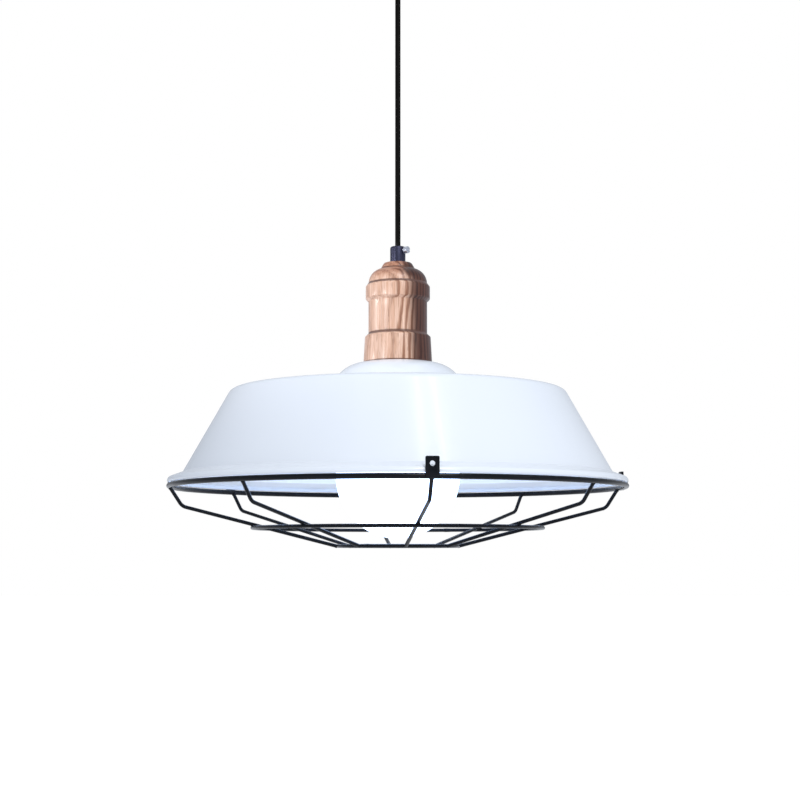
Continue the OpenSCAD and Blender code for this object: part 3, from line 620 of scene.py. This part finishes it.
def ash_wood():
    """Turned ash under satin lacquer: growth rings about a pith behind the cover, each ring with its own
    strength, fibres and pores along the grain, darker heartwood on one side that is partly painted shade
    on that side, dark end grain on the dome that is partly painted shade on the top, and burnt turned
    lines that are partly painted shade in the creases, with a painted contact shadow at the foot."""
    material, tree, shader = new_finish("ash_wood", coat_weight=0.32, coat_roughness=0.24,
                                        specular_ior_level=0.35)
    pale_wood = rgb(0.84, 0.585, 0.455)
    rings_per_metre = 265.0
    burn_lift = 0.0004
    place = object_place(tree)
    split = add_node(tree, "ShaderNodeSeparateXYZ", {0: place}).outputs

    def along_grain(shrink):
        return vector_maths(tree, "MULTIPLY", place, (1, 1, shrink)).outputs[0]

    tilted = add_node(tree, "ShaderNodeMapping",
                      {"Vector": place, "Location": pith,
                       "Rotation": (math.radians(2), math.radians(-0.5), 0)}).outputs[0]
    lean = noise(tree, along_grain(0.25), 30.0, detail=2)
    flat = vector_maths(tree, "MULTIPLY", tilted, (1, 1, 0)).outputs[0]
    from_pith = vector_maths(tree, "LENGTH", flat).outputs["Value"]
    ragged_lean = maths(tree, "ADD", maths(tree, "MULTIPLY", lean, 2.4),
                        maths(tree, "MULTIPLY", noise(tree, along_grain(0.16), 190.0, detail=3), 0.9))
    rings = maths(tree, "ADD", maths(tree, "MULTIPLY", from_pith, rings_per_metre), ragged_lean)
    season = maths(tree, "FRACT", rings)
    ramp = add_node(tree, "ShaderNodeValToRGB", {"Fac": season})
    stops = ramp.color_ramp.elements
    stops[0].position, stops[0].color = 0.0, rgb(0.25, 0.105, 0.055)
    stops[1].position, stops[1].color = 1.0, rgb(0.48, 0.26, 0.165)
    for position, colour in ((0.26, rgb(0.36, 0.165, 0.09)), (0.46, rgb(0.76, 0.50, 0.375)),
                             (0.78, pale_wood), (0.94, rgb(0.62, 0.37, 0.25))):
        stops.new(position).color = colour
    own = add_node(tree, "ShaderNodeTexWhiteNoise", {"W": maths(tree, "FLOOR", rings)},
                   noise_dimensions="1D").outputs["Value"]
    side = maths(tree, "ADD", split["X"], maths(tree, "MULTIPLY", lean, 0.010))
    boldness = soft_step(tree, side, -0.004, 0.008, 0.15, 0.85)
    strength = maths(tree, "ADD", boldness, maths(tree, "MULTIPLY", own, 0.25))
    ringed = mix_colours(tree, strength, pale_wood, ramp.outputs["Color"])

    streaks = noise(tree, along_grain(0.04), 700.0, detail=4, roughness=0.6)
    fibre_tint = mix_colours(tree, soft_step(tree, streaks, 0.3, 0.7), rgb(0.70, 0.54, 0.44), rgb(1, 1, 1))
    fibres = mix_colours(tree, 0.75, ringed, fibre_tint, "MULTIPLY")
    pores = soft_step(tree, noise(tree, along_grain(0.05), 1500.0, detail=1), 0.60, 0.72)
    early = soft_step(tree, season, 0.45, 0.0)
    pore_mask = maths(tree, "MULTIPLY", pores, maths(tree, "ADD", maths(tree, "MULTIPLY", early, 0.6), 0.35))
    pored = mix_colours(tree, pore_mask, fibres, rgb(0.20, 0.085, 0.045))
    height = maths(tree, "SUBTRACT", split["Z"], seat_z)
    # Darker on the dome: partly end grain taking the lacquer darker, partly painted shade on the top of the
    # wood.
    dome_end_grain_and_shade = soft_step(tree, height, top_band_top, top_band_top + 0.009)
    dome_darkened_and_shaded = mix_colours(tree, dome_end_grain_and_shade, pored, rgb(0.62, 0.47, 0.40), "MULTIPLY")
    # Darker heartwood on the +X side: partly the wood's own darker heartwood, partly painted shade on the
    # side away from the lights.
    heartwood_and_shade_side = maths(tree, "ADD", side, maths(tree, "MULTIPLY", dome_end_grain_and_shade, 0.006))
    heartwood_and_painted_shade = soft_step(tree, heartwood_and_shade_side, 0.010, 0.020)
    colour = mix_colours(tree, heartwood_and_painted_shade, dome_darkened_and_shaded, rgb(0.14, 0.075, 0.06), "MULTIPLY")

    ragged = maths(tree, "ADD", height, maths(tree, "MULTIPLY", noise(tree, place, 260.0), 0.0008))
    # Dark lines round the wood: burnt turning lines that are also painted shade in the creases, and a
    # painted contact shadow at the foot.
    for line, reach in burnt_and_shade_lines:
        near = maths(tree, "ABSOLUTE", maths(tree, "SUBTRACT", ragged, line + burn_lift))
        burn_and_shade = soft_step(tree, near, reach, reach * 0.35, 0.0, 0.88)
        colour = mix_colours(tree, burn_and_shade, colour, rgb(0.10, 0.040, 0.026))
    powder = place_effect(tree, settled_dust, amount=0.06, scale=120.0)
    tree.links.new(mix_colours(tree, powder.outputs["Mask"], colour, rgb(0.6, 0.55, 0.5)),
                   shader.inputs["Base Color"])
    grain = place_effect(tree, fine_grain, scale=700.0, stretch=(1, 1, 0.06), smoothest=0.32, roughest=0.46)
    tree.links.new(grain.outputs["Roughness"], shader.inputs["Roughness"])
    relief = maths(tree, "SUBTRACT", maths(tree, "MULTIPLY", streaks, 0.5), pore_mask)
    bump(tree, shader, relief, 3e-5)
    return material


def opal_glass():
    """A lit opal globe: cool white, a little dimmer towards its neck, under clear gloss."""
    material, tree, shader = new_finish("opal_glass", coat_weight=0.8, coat_roughness=0.03,
                                        emission_strength=5.2)
    height = add_node(tree, "ShaderNodeSeparateXYZ", {0: object_place(tree)}).outputs["Z"]
    near_neck = soft_step(tree, height, bulb_z + bulb_r * 0.35, bulb_cut_z)
    glow = mix_colours(tree, near_neck, rgb(0.42, 0.61, 1.0), rgb(0.26, 0.38, 0.62))
    cloud = noise(tree, object_place(tree), 60.0, detail=3)
    faint = mix_colours(tree, soft_step(tree, cloud, 0.2, 0.8, 0.0, 0.12), glow, rgb(0.39, 0.57, 0.95))
    tree.links.new(faint, shader.inputs["Emission Color"])
    drift = place_effect(tree, colour_drift, shade=rgb(0.92, 0.94, 0.97), deeper=rgb(0.88, 0.91, 0.95),
                         scale=50.0)
    tree.links.new(drift.outputs["Colour"], shader.inputs["Base Color"])
    grain = place_effect(tree, fine_grain, scale=500.0, smoothest=0.1, roughest=0.2)
    tree.links.new(grain.outputs["Roughness"], shader.inputs["Roughness"])
    bump(tree, shader, grain.outputs["Height"], 3e-6)
    return material


finishes = {
    "zinc_steel": metal("zinc_steel", rgb(0.60, 0.61, 0.63), rgb(0.47, 0.49, 0.53), 0.24, 0.42),
    "black_paint": black_lacquer("black_paint", rgb(0.014, 0.014, 0.016), rgb(0.010, 0.010, 0.012),
                                 0.38, 0.5, 1500.0, 8e-6, 0.2, 0.5),
    "black_steel": metal("black_steel", rgb(0.05, 0.05, 0.055), rgb(0.03, 0.03, 0.035), 0.3, 0.45),
    "white_nylon": moulded("white_nylon", rgb(0.82, 0.82, 0.79), rgb(0.76, 0.76, 0.72), 0.42, 0.6),
    "brass": metal("brass", rgb(0.78, 0.58, 0.28), rgb(0.66, 0.46, 0.20), 0.2, 0.38),
    "black_nickel": metal("black_nickel", rgb(0.050, 0.051, 0.085), rgb(0.040, 0.041, 0.070), 0.38, 0.42,
                          3000.0, 6e-7),
    "bright_nickel": metal("bright_nickel", rgb(0.74, 0.76, 0.84), rgb(0.60, 0.63, 0.72), 0.12, 0.26),
    "cord_black": moulded("cord_black", rgb(0.0038, 0.0033, 0.0026), rgb(0.0028, 0.0024, 0.0020),
                          0.45, 0.6, 700.0, 2e-6, specular_ior_level=0.06),
    "lead_brown": moulded("lead_brown", rgb(0.17, 0.07, 0.03), rgb(0.13, 0.05, 0.02), 0.3, 0.42),
    "lead_blue": moulded("lead_blue", rgb(0.05, 0.15, 0.45), rgb(0.04, 0.11, 0.36), 0.3, 0.42),
    "black_rubber": moulded("black_rubber", rgb(0.020, 0.020, 0.020), rgb(0.014, 0.014, 0.014), 0.55, 0.72),
    "ash_wood": ash_wood(),
    "black_phenolic": moulded("black_phenolic", rgb(0.022, 0.019, 0.018), rgb(0.014, 0.012, 0.012),
                              0.18, 0.34, coat_weight=0.3),
    "white_enamel": white_enamel(),
    "opal_glass": opal_glass(),
    "white_plastic": moulded("white_plastic", rgb(0.86, 0.86, 0.85), rgb(0.80, 0.80, 0.79), 0.28, 0.4),
    "led_yellow": moulded("led_yellow", rgb(0.84, 0.74, 0.40), rgb(0.78, 0.66, 0.30), 0.4, 0.55),
    "bulb_nickel": metal("bulb_nickel", rgb(0.74, 0.74, 0.75), rgb(0.60, 0.61, 0.63), 0.16, 0.3),
    "black_glass": moulded("black_glass", rgb(0.012, 0.012, 0.014), rgb(0.008, 0.008, 0.010), 0.06, 0.14),
    "bulb_solder": metal("bulb_solder", rgb(0.58, 0.58, 0.60), rgb(0.44, 0.44, 0.47), 0.3, 0.5),
    "guard_black": black_lacquer("guard_black", rgb(0.005, 0.006, 0.009), rgb(0.003, 0.004, 0.006),
                                 0.16, 0.28, 900.0, 5e-6, 0.03, 0.15),
}


def dress(piece, slot):
    piece.data.materials.clear()
    piece.data.materials.append(finishes[slot])


def hand_over(piece, slot, body, *nodes):
    """A finished piece gets its finish, stands for its nodes and moves with its body."""
    dress(piece, slot)
    if nodes:
        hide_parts(*nodes)
    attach(piece, body)
    return piece


# ---- camera ----

def make_camera():
    """Below the shade's rim, looking a little up at the lamp."""
    place = (0.0017, -1.190, seat_z - 0.1467)
    tilt = 95.68
    sensor_mm, lens_mm = 36, 69.84
    deselect()
    bpy.ops.object.camera_add(location=place, rotation=(math.radians(tilt), 0, 0))
    camera = bpy.context.object
    camera.name = "studio_camera"
    camera.data.sensor_width = sensor_mm
    camera.data.lens = lens_mm
    camera.data.clip_start = 0.01
    bpy.context.scene.camera = camera


# ---- ceiling side and cord ----

def make_canopy_grip():
    """The turned grip under the canopy: a spigot, a rounded body with two fine grooves, and a mouth that
    gives the bush room to swing."""
    spigot_r = 0.0049
    spigot_chamfer = 0.0004
    groove_drops = (0.0085, 0.0105)
    foot_round = 0.0012
    mouth_r = cord_r + 0.002
    room_r = 0.00495
    swing_room = 16
    screw_drop = 0.004
    bush_low, bush_high = low_z("cord_bush"), high_z("cord_bush")
    swing_reach = half_width("cord_bush") * math.sin(math.radians(swing_room))
    room_low = bush_low - swing_reach
    room_top = bush_high + swing_reach
    body_r, low, high = canopy_grip_r, canopy_grip_low, canopy_low
    outline = [(cord_bore_r, canopy_grip_top), (spigot_r - spigot_chamfer, canopy_grip_top),
               (spigot_r, canopy_grip_top - spigot_chamfer), (spigot_r, high),
               (body_r - edge_break, high), (body_r, high - edge_break)]
    for drop in groove_drops:
        outline += groove(body_r, high - drop, 0.0004, 0.0001, groove_depth)
    outline += arc((body_r - foot_round, low + foot_round), foot_round, 0, -90, 6)
    outline += [(mouth_r + edge_break, low), (mouth_r, low + edge_break), (mouth_r - edge_break, room_low),
                (room_r, room_low), (room_r, room_top), (cord_bore_r, room_top)]
    grip = turn("canopy_grip_body", outline, steps=64)
    drill_side_hole(grip, depth=0.014, height=high - screw_drop, angle=0)
    smooth(grip, 40)
    return hand_over(grip, "black_nickel", "ceiling_mount", "canopy_grip")


def make_cord():
    """The straight round cord, tapered where it flexes inside the bush."""
    tip_share = 0.24
    cord = bent_wire("round_cord", cord_route, cord_r, 0)
    tip_z = cord_route[0][2]
    select_corners(cord, lambda co: co.z > tip_z - pick_reach)
    bpy.ops.transform.resize(value=(tip_share, tip_share, 1), center_override=(0, 0, tip_z))
    close_mesh()
    smooth(cord, 60)
    hand_over(cord, "cord_black", "hanging_cord", "cord")


def make_canopy():
    """The spun steel cup: a flat base, a full round, a straight wall and a fine groove under its edge."""
    wall = 0.0012
    big_round = 0.0090
    hole_r = 0.0051
    groove_drop = 0.003285
    fixing_hole_r = 0.0022
    fixing_drill = 2.2 * canopy_r
    corner = (canopy_r - big_round, canopy_low + big_round)
    outline = [(canopy_r - wall, canopy_top - edge_break), (canopy_r - wall + edge_break, canopy_top),
               (canopy_r - edge_break, canopy_top), (canopy_r, canopy_top - edge_break)]
    outline += groove(canopy_r, canopy_top - groove_drop, 0.000585, 0.000225, groove_depth)
    outline += arc(corner, big_round, 0, -90, 14)
    outline += [(hole_r + edge_break, canopy_low), (hole_r, canopy_low + edge_break),
                (hole_r, canopy_low + wall)]
    outline += arc(corner, big_round - wall, -90, 0, 14)
    canopy = turn("canopy_cup", outline, steps=128)
    fixing_line = (0, 0, middle_z("canopy_screws"))
    cut_away(canopy, add_rod("drill", fixing_hole_r, fixing_drill, fixing_line, sides=32))
    smooth(canopy, 40)
    hand_over(canopy, "black_paint", "ceiling_mount", "canopy")


# ---- lamp ----

def make_lamp_grip():
    """The plain turned grip on top of the wood, with a rounded shoulder and a drilled side hole."""
    tube_r = 0.00405
    thread_h = 0.0070
    thread_top = grip_low + thread_h
    shoulder_r = 0.0014
    mouth_break = 0.0005
    outline = [(tube_r, grip_low), (grip_r - edge_break, grip_low), (grip_r, grip_low + edge_break)]
    outline += arc((grip_r - shoulder_r, grip_top - shoulder_r), shoulder_r, 0, 90, 8)
    outline += [(cord_bore_r + mouth_break, grip_top), (cord_bore_r, grip_top - mouth_break),
                (cord_bore_r, thread_top), (tube_r, thread_top)]
    grip = turn("cord_grip_body", outline, steps=64)
    drill_side_hole(grip, depth=0.010, height=middle_z("lamp_grip_screw"), angle=grip_screw_turn)
    smooth(grip, 40)
    hand_over(grip, "black_nickel", "lamp", "lamp_grip")


def make_locking_screw(name, node, body, outer_r, angle):
    """A thumb screw at the angle in degrees from +X: a shank that stops at the cord, and a slotted head
    with a coined edge."""
    shank_r = 0.0014
    head_r = 0.0027
    head_h = 0.0036
    head_sides = 40
    plain_rim = 0.0004
    coin_inset, coin_depth = 0.00006, 0.00012
    slot_depth, slot_w = 0.0009, 0.0007
    cord_gap, head_gap, overlap = 0.00005, 0.0003, 0.0002
    shank_start = cord_r + cord_gap
    head_start = outer_r + head_gap
    head_end = head_start + head_h
    screw_z = middle_z(node)
    screw = add_rod(name, shank_r, head_start - shank_start + overlap,
                    ((head_start + shank_start) / 2, 0, screw_z))
    place_in_mesh(screw)
    head = add_rod("head", head_r, head_h, (head_start + head_h / 2, 0, screw_z), sides=head_sides)
    place_in_mesh(head)
    ridge = math.tau / head_sides

    def on_ridge(middle, normal):
        around = math.atan2(normal.z, normal.y) / ridge
        outward = abs(normal.x) < 0.5 and round(around - 0.5) % 2 == 0
        return outward and head_start + plain_rim < middle.x < head_end - plain_rim

    ease_edges(head, edge_break, angle=60)
    select_faces(head, on_ridge)
    bpy.ops.mesh.inset(thickness=coin_inset, depth=0)
    bpy.ops.transform.shrink_fatten(value=-coin_depth)
    close_mesh()
    cut_away(head, add_block("slot", (head_end, 0, screw_z), (2 * slot_depth, 3 * head_r, slot_w)))
    fuse(screw, head)
    screw.rotation_euler = (0, 0, math.radians(angle))
    place_in_mesh(screw)
    smooth(screw, 30)
    hand_over(screw, "bright_nickel", body, node)


def make_wood_cover():
    """Turned in one piece: two bands, a waist, a dome with a collar, and the hollow for the holder."""
    dome_rise = 0.0006
    collar_drop, collar_flare, collar_rise = 0.0007, 0.0019, 0.0013
    dome_centre = Vector((top_band_r - band_bevel - dome_r, top_band_top + dome_rise))
    end = math.radians(dome_end)
    dome_last = dome_centre + dome_r * Vector((math.cos(end), math.sin(end)))
    outline = [(recess_r, 0), (foot_r - 0.0004, 0), (foot_r, 0.0005), (low_band_r, low_band_h),
               (waist_r + 0.0004, low_band_h + band_bevel), (waist_r, low_band_h + band_bevel + 0.0002),
               (waist_r, low_band_h + band_bevel + 0.0009)]
    outline += straight((waist_r, low_band_h + band_bevel), (waist_r, top_band_z - band_bevel), 4)
    outline += [(waist_r, top_band_z - band_bevel), (top_band_r - 0.0003, top_band_z - 0.0003),
                (top_band_r, top_band_z + 0.0004), (top_band_r, top_band_top - band_bevel),
                (top_band_r - band_bevel * 0.7, top_band_top)]
    outline += arc(dome_centre, dome_r, 0, dome_end, 14)
    outline += [(dome_last.x - 0.0009, dome_last.y + 0.0005),
                (collar_r + collar_flare, dome_last.y + collar_rise),
                (collar_r + 0.0003, wood_h - collar_drop), (collar_r - 0.0005, wood_h),
                (tube_hole_r, wood_h), (tube_hole_r, hollow_top), (hollow_r, hollow_top),
                (hollow_r, recess_h), (recess_r, recess_h)]
    cover = turn("turned_wood_cover", at_seat(outline), steps=128)
    ease_edges(cover, 0.00025, angle=12)
    smooth(cover, 30)
    hand_over(cover, "ash_wood", "lamp", "wood_cover")


def shade_outline():
    """The outer face of the shade's sheet, from the hole under the wood to the rolled lip."""
    wall_slope = math.degrees(math.atan2(shoulder.y - wall_foot.y, wall_foot.x - shoulder.x))
    bend, top = math.radians(dome_bend), math.radians(top_slope)
    dome_centre = Vector((dome_bend_r, -dome_bend_r))
    dome_foot = dome_centre + dome_bend_r * Vector((math.sin(bend), math.cos(bend)))
    rise = shoulder.y + (shoulder.x - dome_foot.x) * math.tan(top) - dome_foot.y
    run = rise / (math.cos(bend) * math.tan(top) - math.sin(bend))
    dome_corner = dome_foot + run * Vector((math.cos(bend), -math.sin(bend)))
    lip = math.radians(lip_slope)
    lip_w = lip_r - wall_foot.x
    lip_centre = Vector((
        lip_r - lip_roll_r,
        wall_foot.y - (lip_w - lip_roll_r + lip_roll_r * math.sin(lip)) * math.tan(lip)
        - lip_roll_r * math.cos(lip)))
    dome = arc(dome_centre, dome_bend_r, 90, 90 - dome_bend, 20)
    hollow = arc(round_centre(dome_corner, dome_bend, top_slope, -dome_fillet), dome_fillet,
                 270 - dome_bend, 270 - top_slope, 8)
    edge = arc(round_centre(shoulder, top_slope, wall_slope, shoulder_fillet), shoulder_fillet,
               90 - top_slope, 90 - wall_slope, 12)
    foot = arc(round_centre(wall_foot, wall_slope, lip_slope, -wall_fillet), wall_fillet,
               270 - wall_slope, 270 - lip_slope, 6)
    roll = arc(lip_centre, lip_roll_r, 90 - lip_slope, lip_curl, 12)
    return ([Vector((shade_hole_r, 0))] + dome + hollow + straight(hollow[-1], edge[0], 8) + edge
            + straight(edge[-1], foot[0], 10) + foot + straight(foot[-1], roll[0], 3) + roll)


def make_shade():
    """One steel pressing: its outer face is turned, then gets the sheet's thickness inwards."""
    shade = turn("enamelled_shade", at_seat(shade_outline()), steps=240, closed=False)
    apply_modifier(shade, "SOLIDIFY", thickness=sheet_t, offset=-1, use_even_offset=True, use_rim=True)
    ease_edges(shade, edge_break, angle=60, segments=3)
    smooth(shade, 40)
    hand_over(shade, "white_enamel", "lamp", "shade")


# ---- bulb ----

def make_globe():
    """The opal globe, opened just under its neck, with a glass wall and a rounded rim."""
    rim_room = 0.0004
    deselect()
    bpy.ops.mesh.primitive_uv_sphere_add(segments=96, ring_count=64, radius=bulb_r, location=(0, 0, bulb_z))
    globe = bpy.context.object
    globe.name = "opal_globe"
    place_in_mesh(globe)
    bpy.ops.object.mode_set(mode="EDIT")
    bpy.ops.mesh.select_all(action="SELECT")
    bpy.ops.mesh.bisect(plane_co=(0, 0, bulb_cut_z - rim_room), plane_no=(0, 0, 1), clear_outer=True)
    close_mesh()
    apply_modifier(globe, "SOLIDIFY", thickness=bulb_wall, offset=-1, use_even_offset=True, use_rim=True)
    ease_edges(globe, edge_break, angle=60)
    smooth(globe, 50)
    hand_over(globe, "opal_glass", "bulb", "bulb_globe")


# ---- guard ----

def weld_bead(place, radius, seed):
    """A small uneven lump of weld."""
    deselect()
    bpy.ops.mesh.primitive_ico_sphere_add(subdivisions=3, radius=radius, location=place)
    bead = bpy.context.object
    bpy.ops.object.mode_set(mode="EDIT")
    bpy.ops.mesh.select_all(action="SELECT")
    bpy.ops.transform.vertex_random(offset=radius * 0.10, seed=seed)
    bpy.ops.mesh.vertices_smooth(factor=0.5, repeat=2)
    close_mesh()
    place_in_mesh(bead)
    return bead


def make_ring(name, ring_r, wire_r, ring_z, seam_angle, node):
    """A wire bent round into a ring, a little swollen where its ends are butt-welded."""
    deselect()
    bpy.ops.mesh.primitive_torus_add(major_segments=256, minor_segments=20, major_radius=ring_r,
                                     minor_radius=wire_r, location=(0, 0, ring_z))
    ring = bpy.context.object
    ring.name = name
    place_in_mesh(ring)
    seam = Vector((ring_r * math.cos(seam_angle), ring_r * math.sin(seam_angle), ring_z))
    # how far along the wire each swelling reaches, and how high it is
    for reach, swell in ((0.0032, 0.00008), (0.0018, 0.00010)):
        select_corners(ring, lambda co: (co - seam).length < reach)
        bpy.ops.transform.shrink_fatten(value=swell)
        close_mesh()
    smooth(ring, 60)
    hand_over(ring, "guard_black", "guard", node)


def rib_angle(i):
    """Degrees from +X to the rib, counted from the one nearest the front."""
    return -90 + rib_turn + 360 / rib_count * i


def make_ribs():
    """One rib is bent from wire and gets its weld beads, then it is copied round."""
    rib_top = Vector((top_ring_r, 0, top_ring_z))
    rib_bend = Vector((top_ring_r - rib_bend_in, 0, rib_bend_z))
    rib_foot = Vector((bottom_ring_r + rib_wire_r - wire_sink, 0, bottom_ring_z))
    up, down = (rib_top - rib_bend).normalized(), (rib_foot - rib_bend).normalized()
    setback = rib_bend_r / math.tan(up.angle(down) / 2)
    rib = bent_wire("rib_wire", [rib_top, rib_bend, rib_foot], rib_wire_r, setback)
    mid_point = Vector((mid_ring_r, 0, mid_ring_z))
    on_rib = rib_bend + down * (mid_point - rib_bend).dot(down)
    mid_weld = mid_point.lerp(on_rib, 0.5)
    under_ring = rib_top + (rib_bend - rib_top).normalized() * top_wire_r
    welds = ((under_ring, top_weld_r), (mid_weld, foot_weld_r), (rib_foot, foot_weld_r))
    for seed, (place, weld_r) in enumerate(welds):
        fuse(rib, weld_bead(place, weld_r, seed))
    smooth(rib, 60)
    for i in range(rib_count):
        twin = turned_copy(rib, f"rib_wire_{i + 1}", rib_angle(i))
        hand_over(twin, "guard_black", "guard", f"guard_rib_{i + 1}")
    bpy.data.objects.remove(rib)


def make_tabs():
    """One upright tab, cut from strip with rounded corners and a punched hole, copied over three ribs."""
    corner_round = 0.0010
    tab_low = top_ring_z - top_wire_r * 0.8
    tab_top = top_ring_z + tab_h
    tab = add_block("tab_plate", (tab_in_r + tab_t / 2, 0, (tab_low + tab_top) / 2),
                    (tab_t, tab_w, tab_top - tab_low))
    select_edges(tab, lambda a, b: abs(a.x - b.x) > tab_t / 2 and a.z > tab_top - pick_reach)
    bpy.ops.mesh.bevel(offset=corner_round, segments=5, affect="EDGES")
    close_mesh()
    cut_away(tab, add_rod("punch", tab_hole_r, 3 * tab_t, (tab_in_r, 0, tab_top - tab_hole_drop), sides=40))
    ease_edges(tab, edge_break / 2, angle=40)
    for seed, side in ((11, -1), (12, 1)):
        weld_place = Vector((tab_in_r, side * tab_w * 0.38, top_ring_z + top_wire_r * 0.9))
        fuse(tab, weld_bead(weld_place, tab_weld_r, seed))
    smooth(tab, 40)
    for count, i in enumerate(tab_ribs, start=1):
        twin = turned_copy(tab, f"tab_plate_{count}", rib_angle(i))
        hand_over(twin, "guard_black", "guard", f"guard_tab_{count}")
    bpy.data.objects.remove(tab)


# ---- studio ----

floor_w = 80
floor_z = -1.6
shade_aim_z = seat_z - 0.04
wood_aim_z = seat_z + 0.050
floor_glow = (0.40, 0.41, 0.43)
air_glow = (0.47, 0.50, 0.55)
# name, azimuth, elevation, distance, width, height, power, colour
studio_lights = (
    ("front_softbox", 18, 36, 1.9, 0.6, 0.6, 14.0, (0.96, 0.98, 1.0)),
    ("top_softbox", 10, 86, 1.7, 1.5, 1.5, 3.4, (0.95, 0.97, 1.0)),
    ("right_softbox", 65, 25, 1.9, 0.6, 0.8, 1.5, (1.0, 0.99, 0.98)),
    ("streak_near", 18, 57, 1.5, 0.07, 0.5, 0.8, (1.0, 1.0, 1.0)),
    ("streak_far", 33, 57, 1.5, 0.07, 0.5, 0.8, (1.0, 1.0, 1.0)),
)
# name, azimuth, power
hooded_lights = (("wood_light", -48, 66.0), ("wood_edge_light", -90, 60.0))


def add_light(name, kind, aim_z, azimuth, elevation, distance, power, colour):
    """A light aimed at a height on the lamp's axis. Azimuth is in degrees from the front, positive to the
    right."""
    aim = Vector((0, 0, aim_z))
    a, e = math.radians(azimuth), math.radians(elevation)
    away = Vector((math.sin(a) * math.cos(e), -math.cos(a) * math.cos(e), math.sin(e)))
    deselect()
    bpy.ops.object.light_add(type=kind, location=aim + away * distance)
    light = bpy.context.object
    light.name = name
    light.rotation_euler = away.to_track_quat("Z", "Y").to_euler()
    light.data.energy = power
    light.data.color = colour
    return light.data


def add_softbox(name, azimuth, elevation, distance, width, height, power, colour):
    """A rectangular soft light aimed at the shade."""
    softbox = add_light(name, "AREA", shade_aim_z, azimuth, elevation, distance, power, colour)
    softbox.shape = "RECTANGLE"
    softbox.size = width
    softbox.size_y = height


def add_hooded_light(name, azimuth, power):
    """A narrow light that reaches the wood and the grip but not the shade's wall."""
    hooded = add_light(name, "SPOT", wood_aim_z, azimuth, 3, 1.5, power, (1.0, 0.98, 0.97))
    hooded.spot_size = math.radians(5.0)
    hooded.spot_blend = 0.35
    hooded.shadow_soft_size = 0.10


def camera_or_light(tree, for_light, for_camera):
    """One colour for the rays that carry light, and another for what the camera sees directly."""
    seen = add_node(tree, "ShaderNodeLightPath").outputs["Is Camera Ray"]
    return mix_colours(tree, seen, for_light, for_camera)


def make_studio():
    """A wide pale floor, a bright even backdrop and soft lights: the wood's from the left, the shade's
    from high in front."""
    deselect()
    bpy.ops.mesh.primitive_plane_add(size=floor_w, location=(0, 0, floor_z))
    floor = bpy.context.object
    floor.name = "studio_floor"
    material, tree, shader = new_finish("pale_floor", roughness=0.9, emission_strength=1.0)
    cloud = noise(tree, object_place(tree), 0.3, detail=2)
    tree.links.new(mix_colours(tree, cloud, rgb(0.90, 0.90, 0.90), rgb(0.93, 0.93, 0.93)),
                   shader.inputs["Base Color"])
    tree.links.new(camera_or_light(tree, rgb(*floor_glow), rgb(0.95, 0.95, 0.95)),
                   shader.inputs["Emission Color"])
    material.cycles.emission_sampling = "NONE"
    floor.data.materials.append(material)

    scene = bpy.context.scene
    scene.view_settings.view_transform = "Standard"
    world = bpy.data.worlds.new("studio_air")
    world.use_nodes = True
    scene.world = world
    tree = world.node_tree
    air = next(node for node in tree.nodes if node.type == "BACKGROUND")
    tree.links.new(camera_or_light(tree, rgb(*air_glow), rgb(1, 1, 1)), air.inputs["Color"])
    air.inputs["Strength"].default_value = 1.0
    for softbox in studio_lights:
        add_softbox(*softbox)
    for hooded in hooded_lights:
        add_hooded_light(*hooded)


def dress_nodes():
    for part in frame["record"]["subparts"]:
        dress(frame["nodes"][part["node"]], part["material_slot"])


make_camera()
dress_nodes()
canopy_grip = make_canopy_grip()
make_cord()
make_canopy()
make_lamp_grip()
make_locking_screw("grip_locking_screw", "lamp_grip_screw", "lamp", grip_r, grip_screw_turn)
make_locking_screw("canopy_locking_screw", "canopy_grip_screw", "ceiling_mount", canopy_grip_r, 0)
make_wood_cover()
make_shade()
make_globe()
make_ring("top_ring_wire", top_ring_r, top_wire_r, top_ring_z, 2.4, "guard_top_ring")
make_ring("mid_ring_wire", mid_ring_r, rib_wire_r, mid_ring_z, 1.2, "guard_mid_ring")
make_ring("bottom_ring_wire", bottom_ring_r, rib_wire_r, bottom_ring_z, 4.2, "guard_bottom_ring")
make_ribs()
make_tabs()
make_studio()
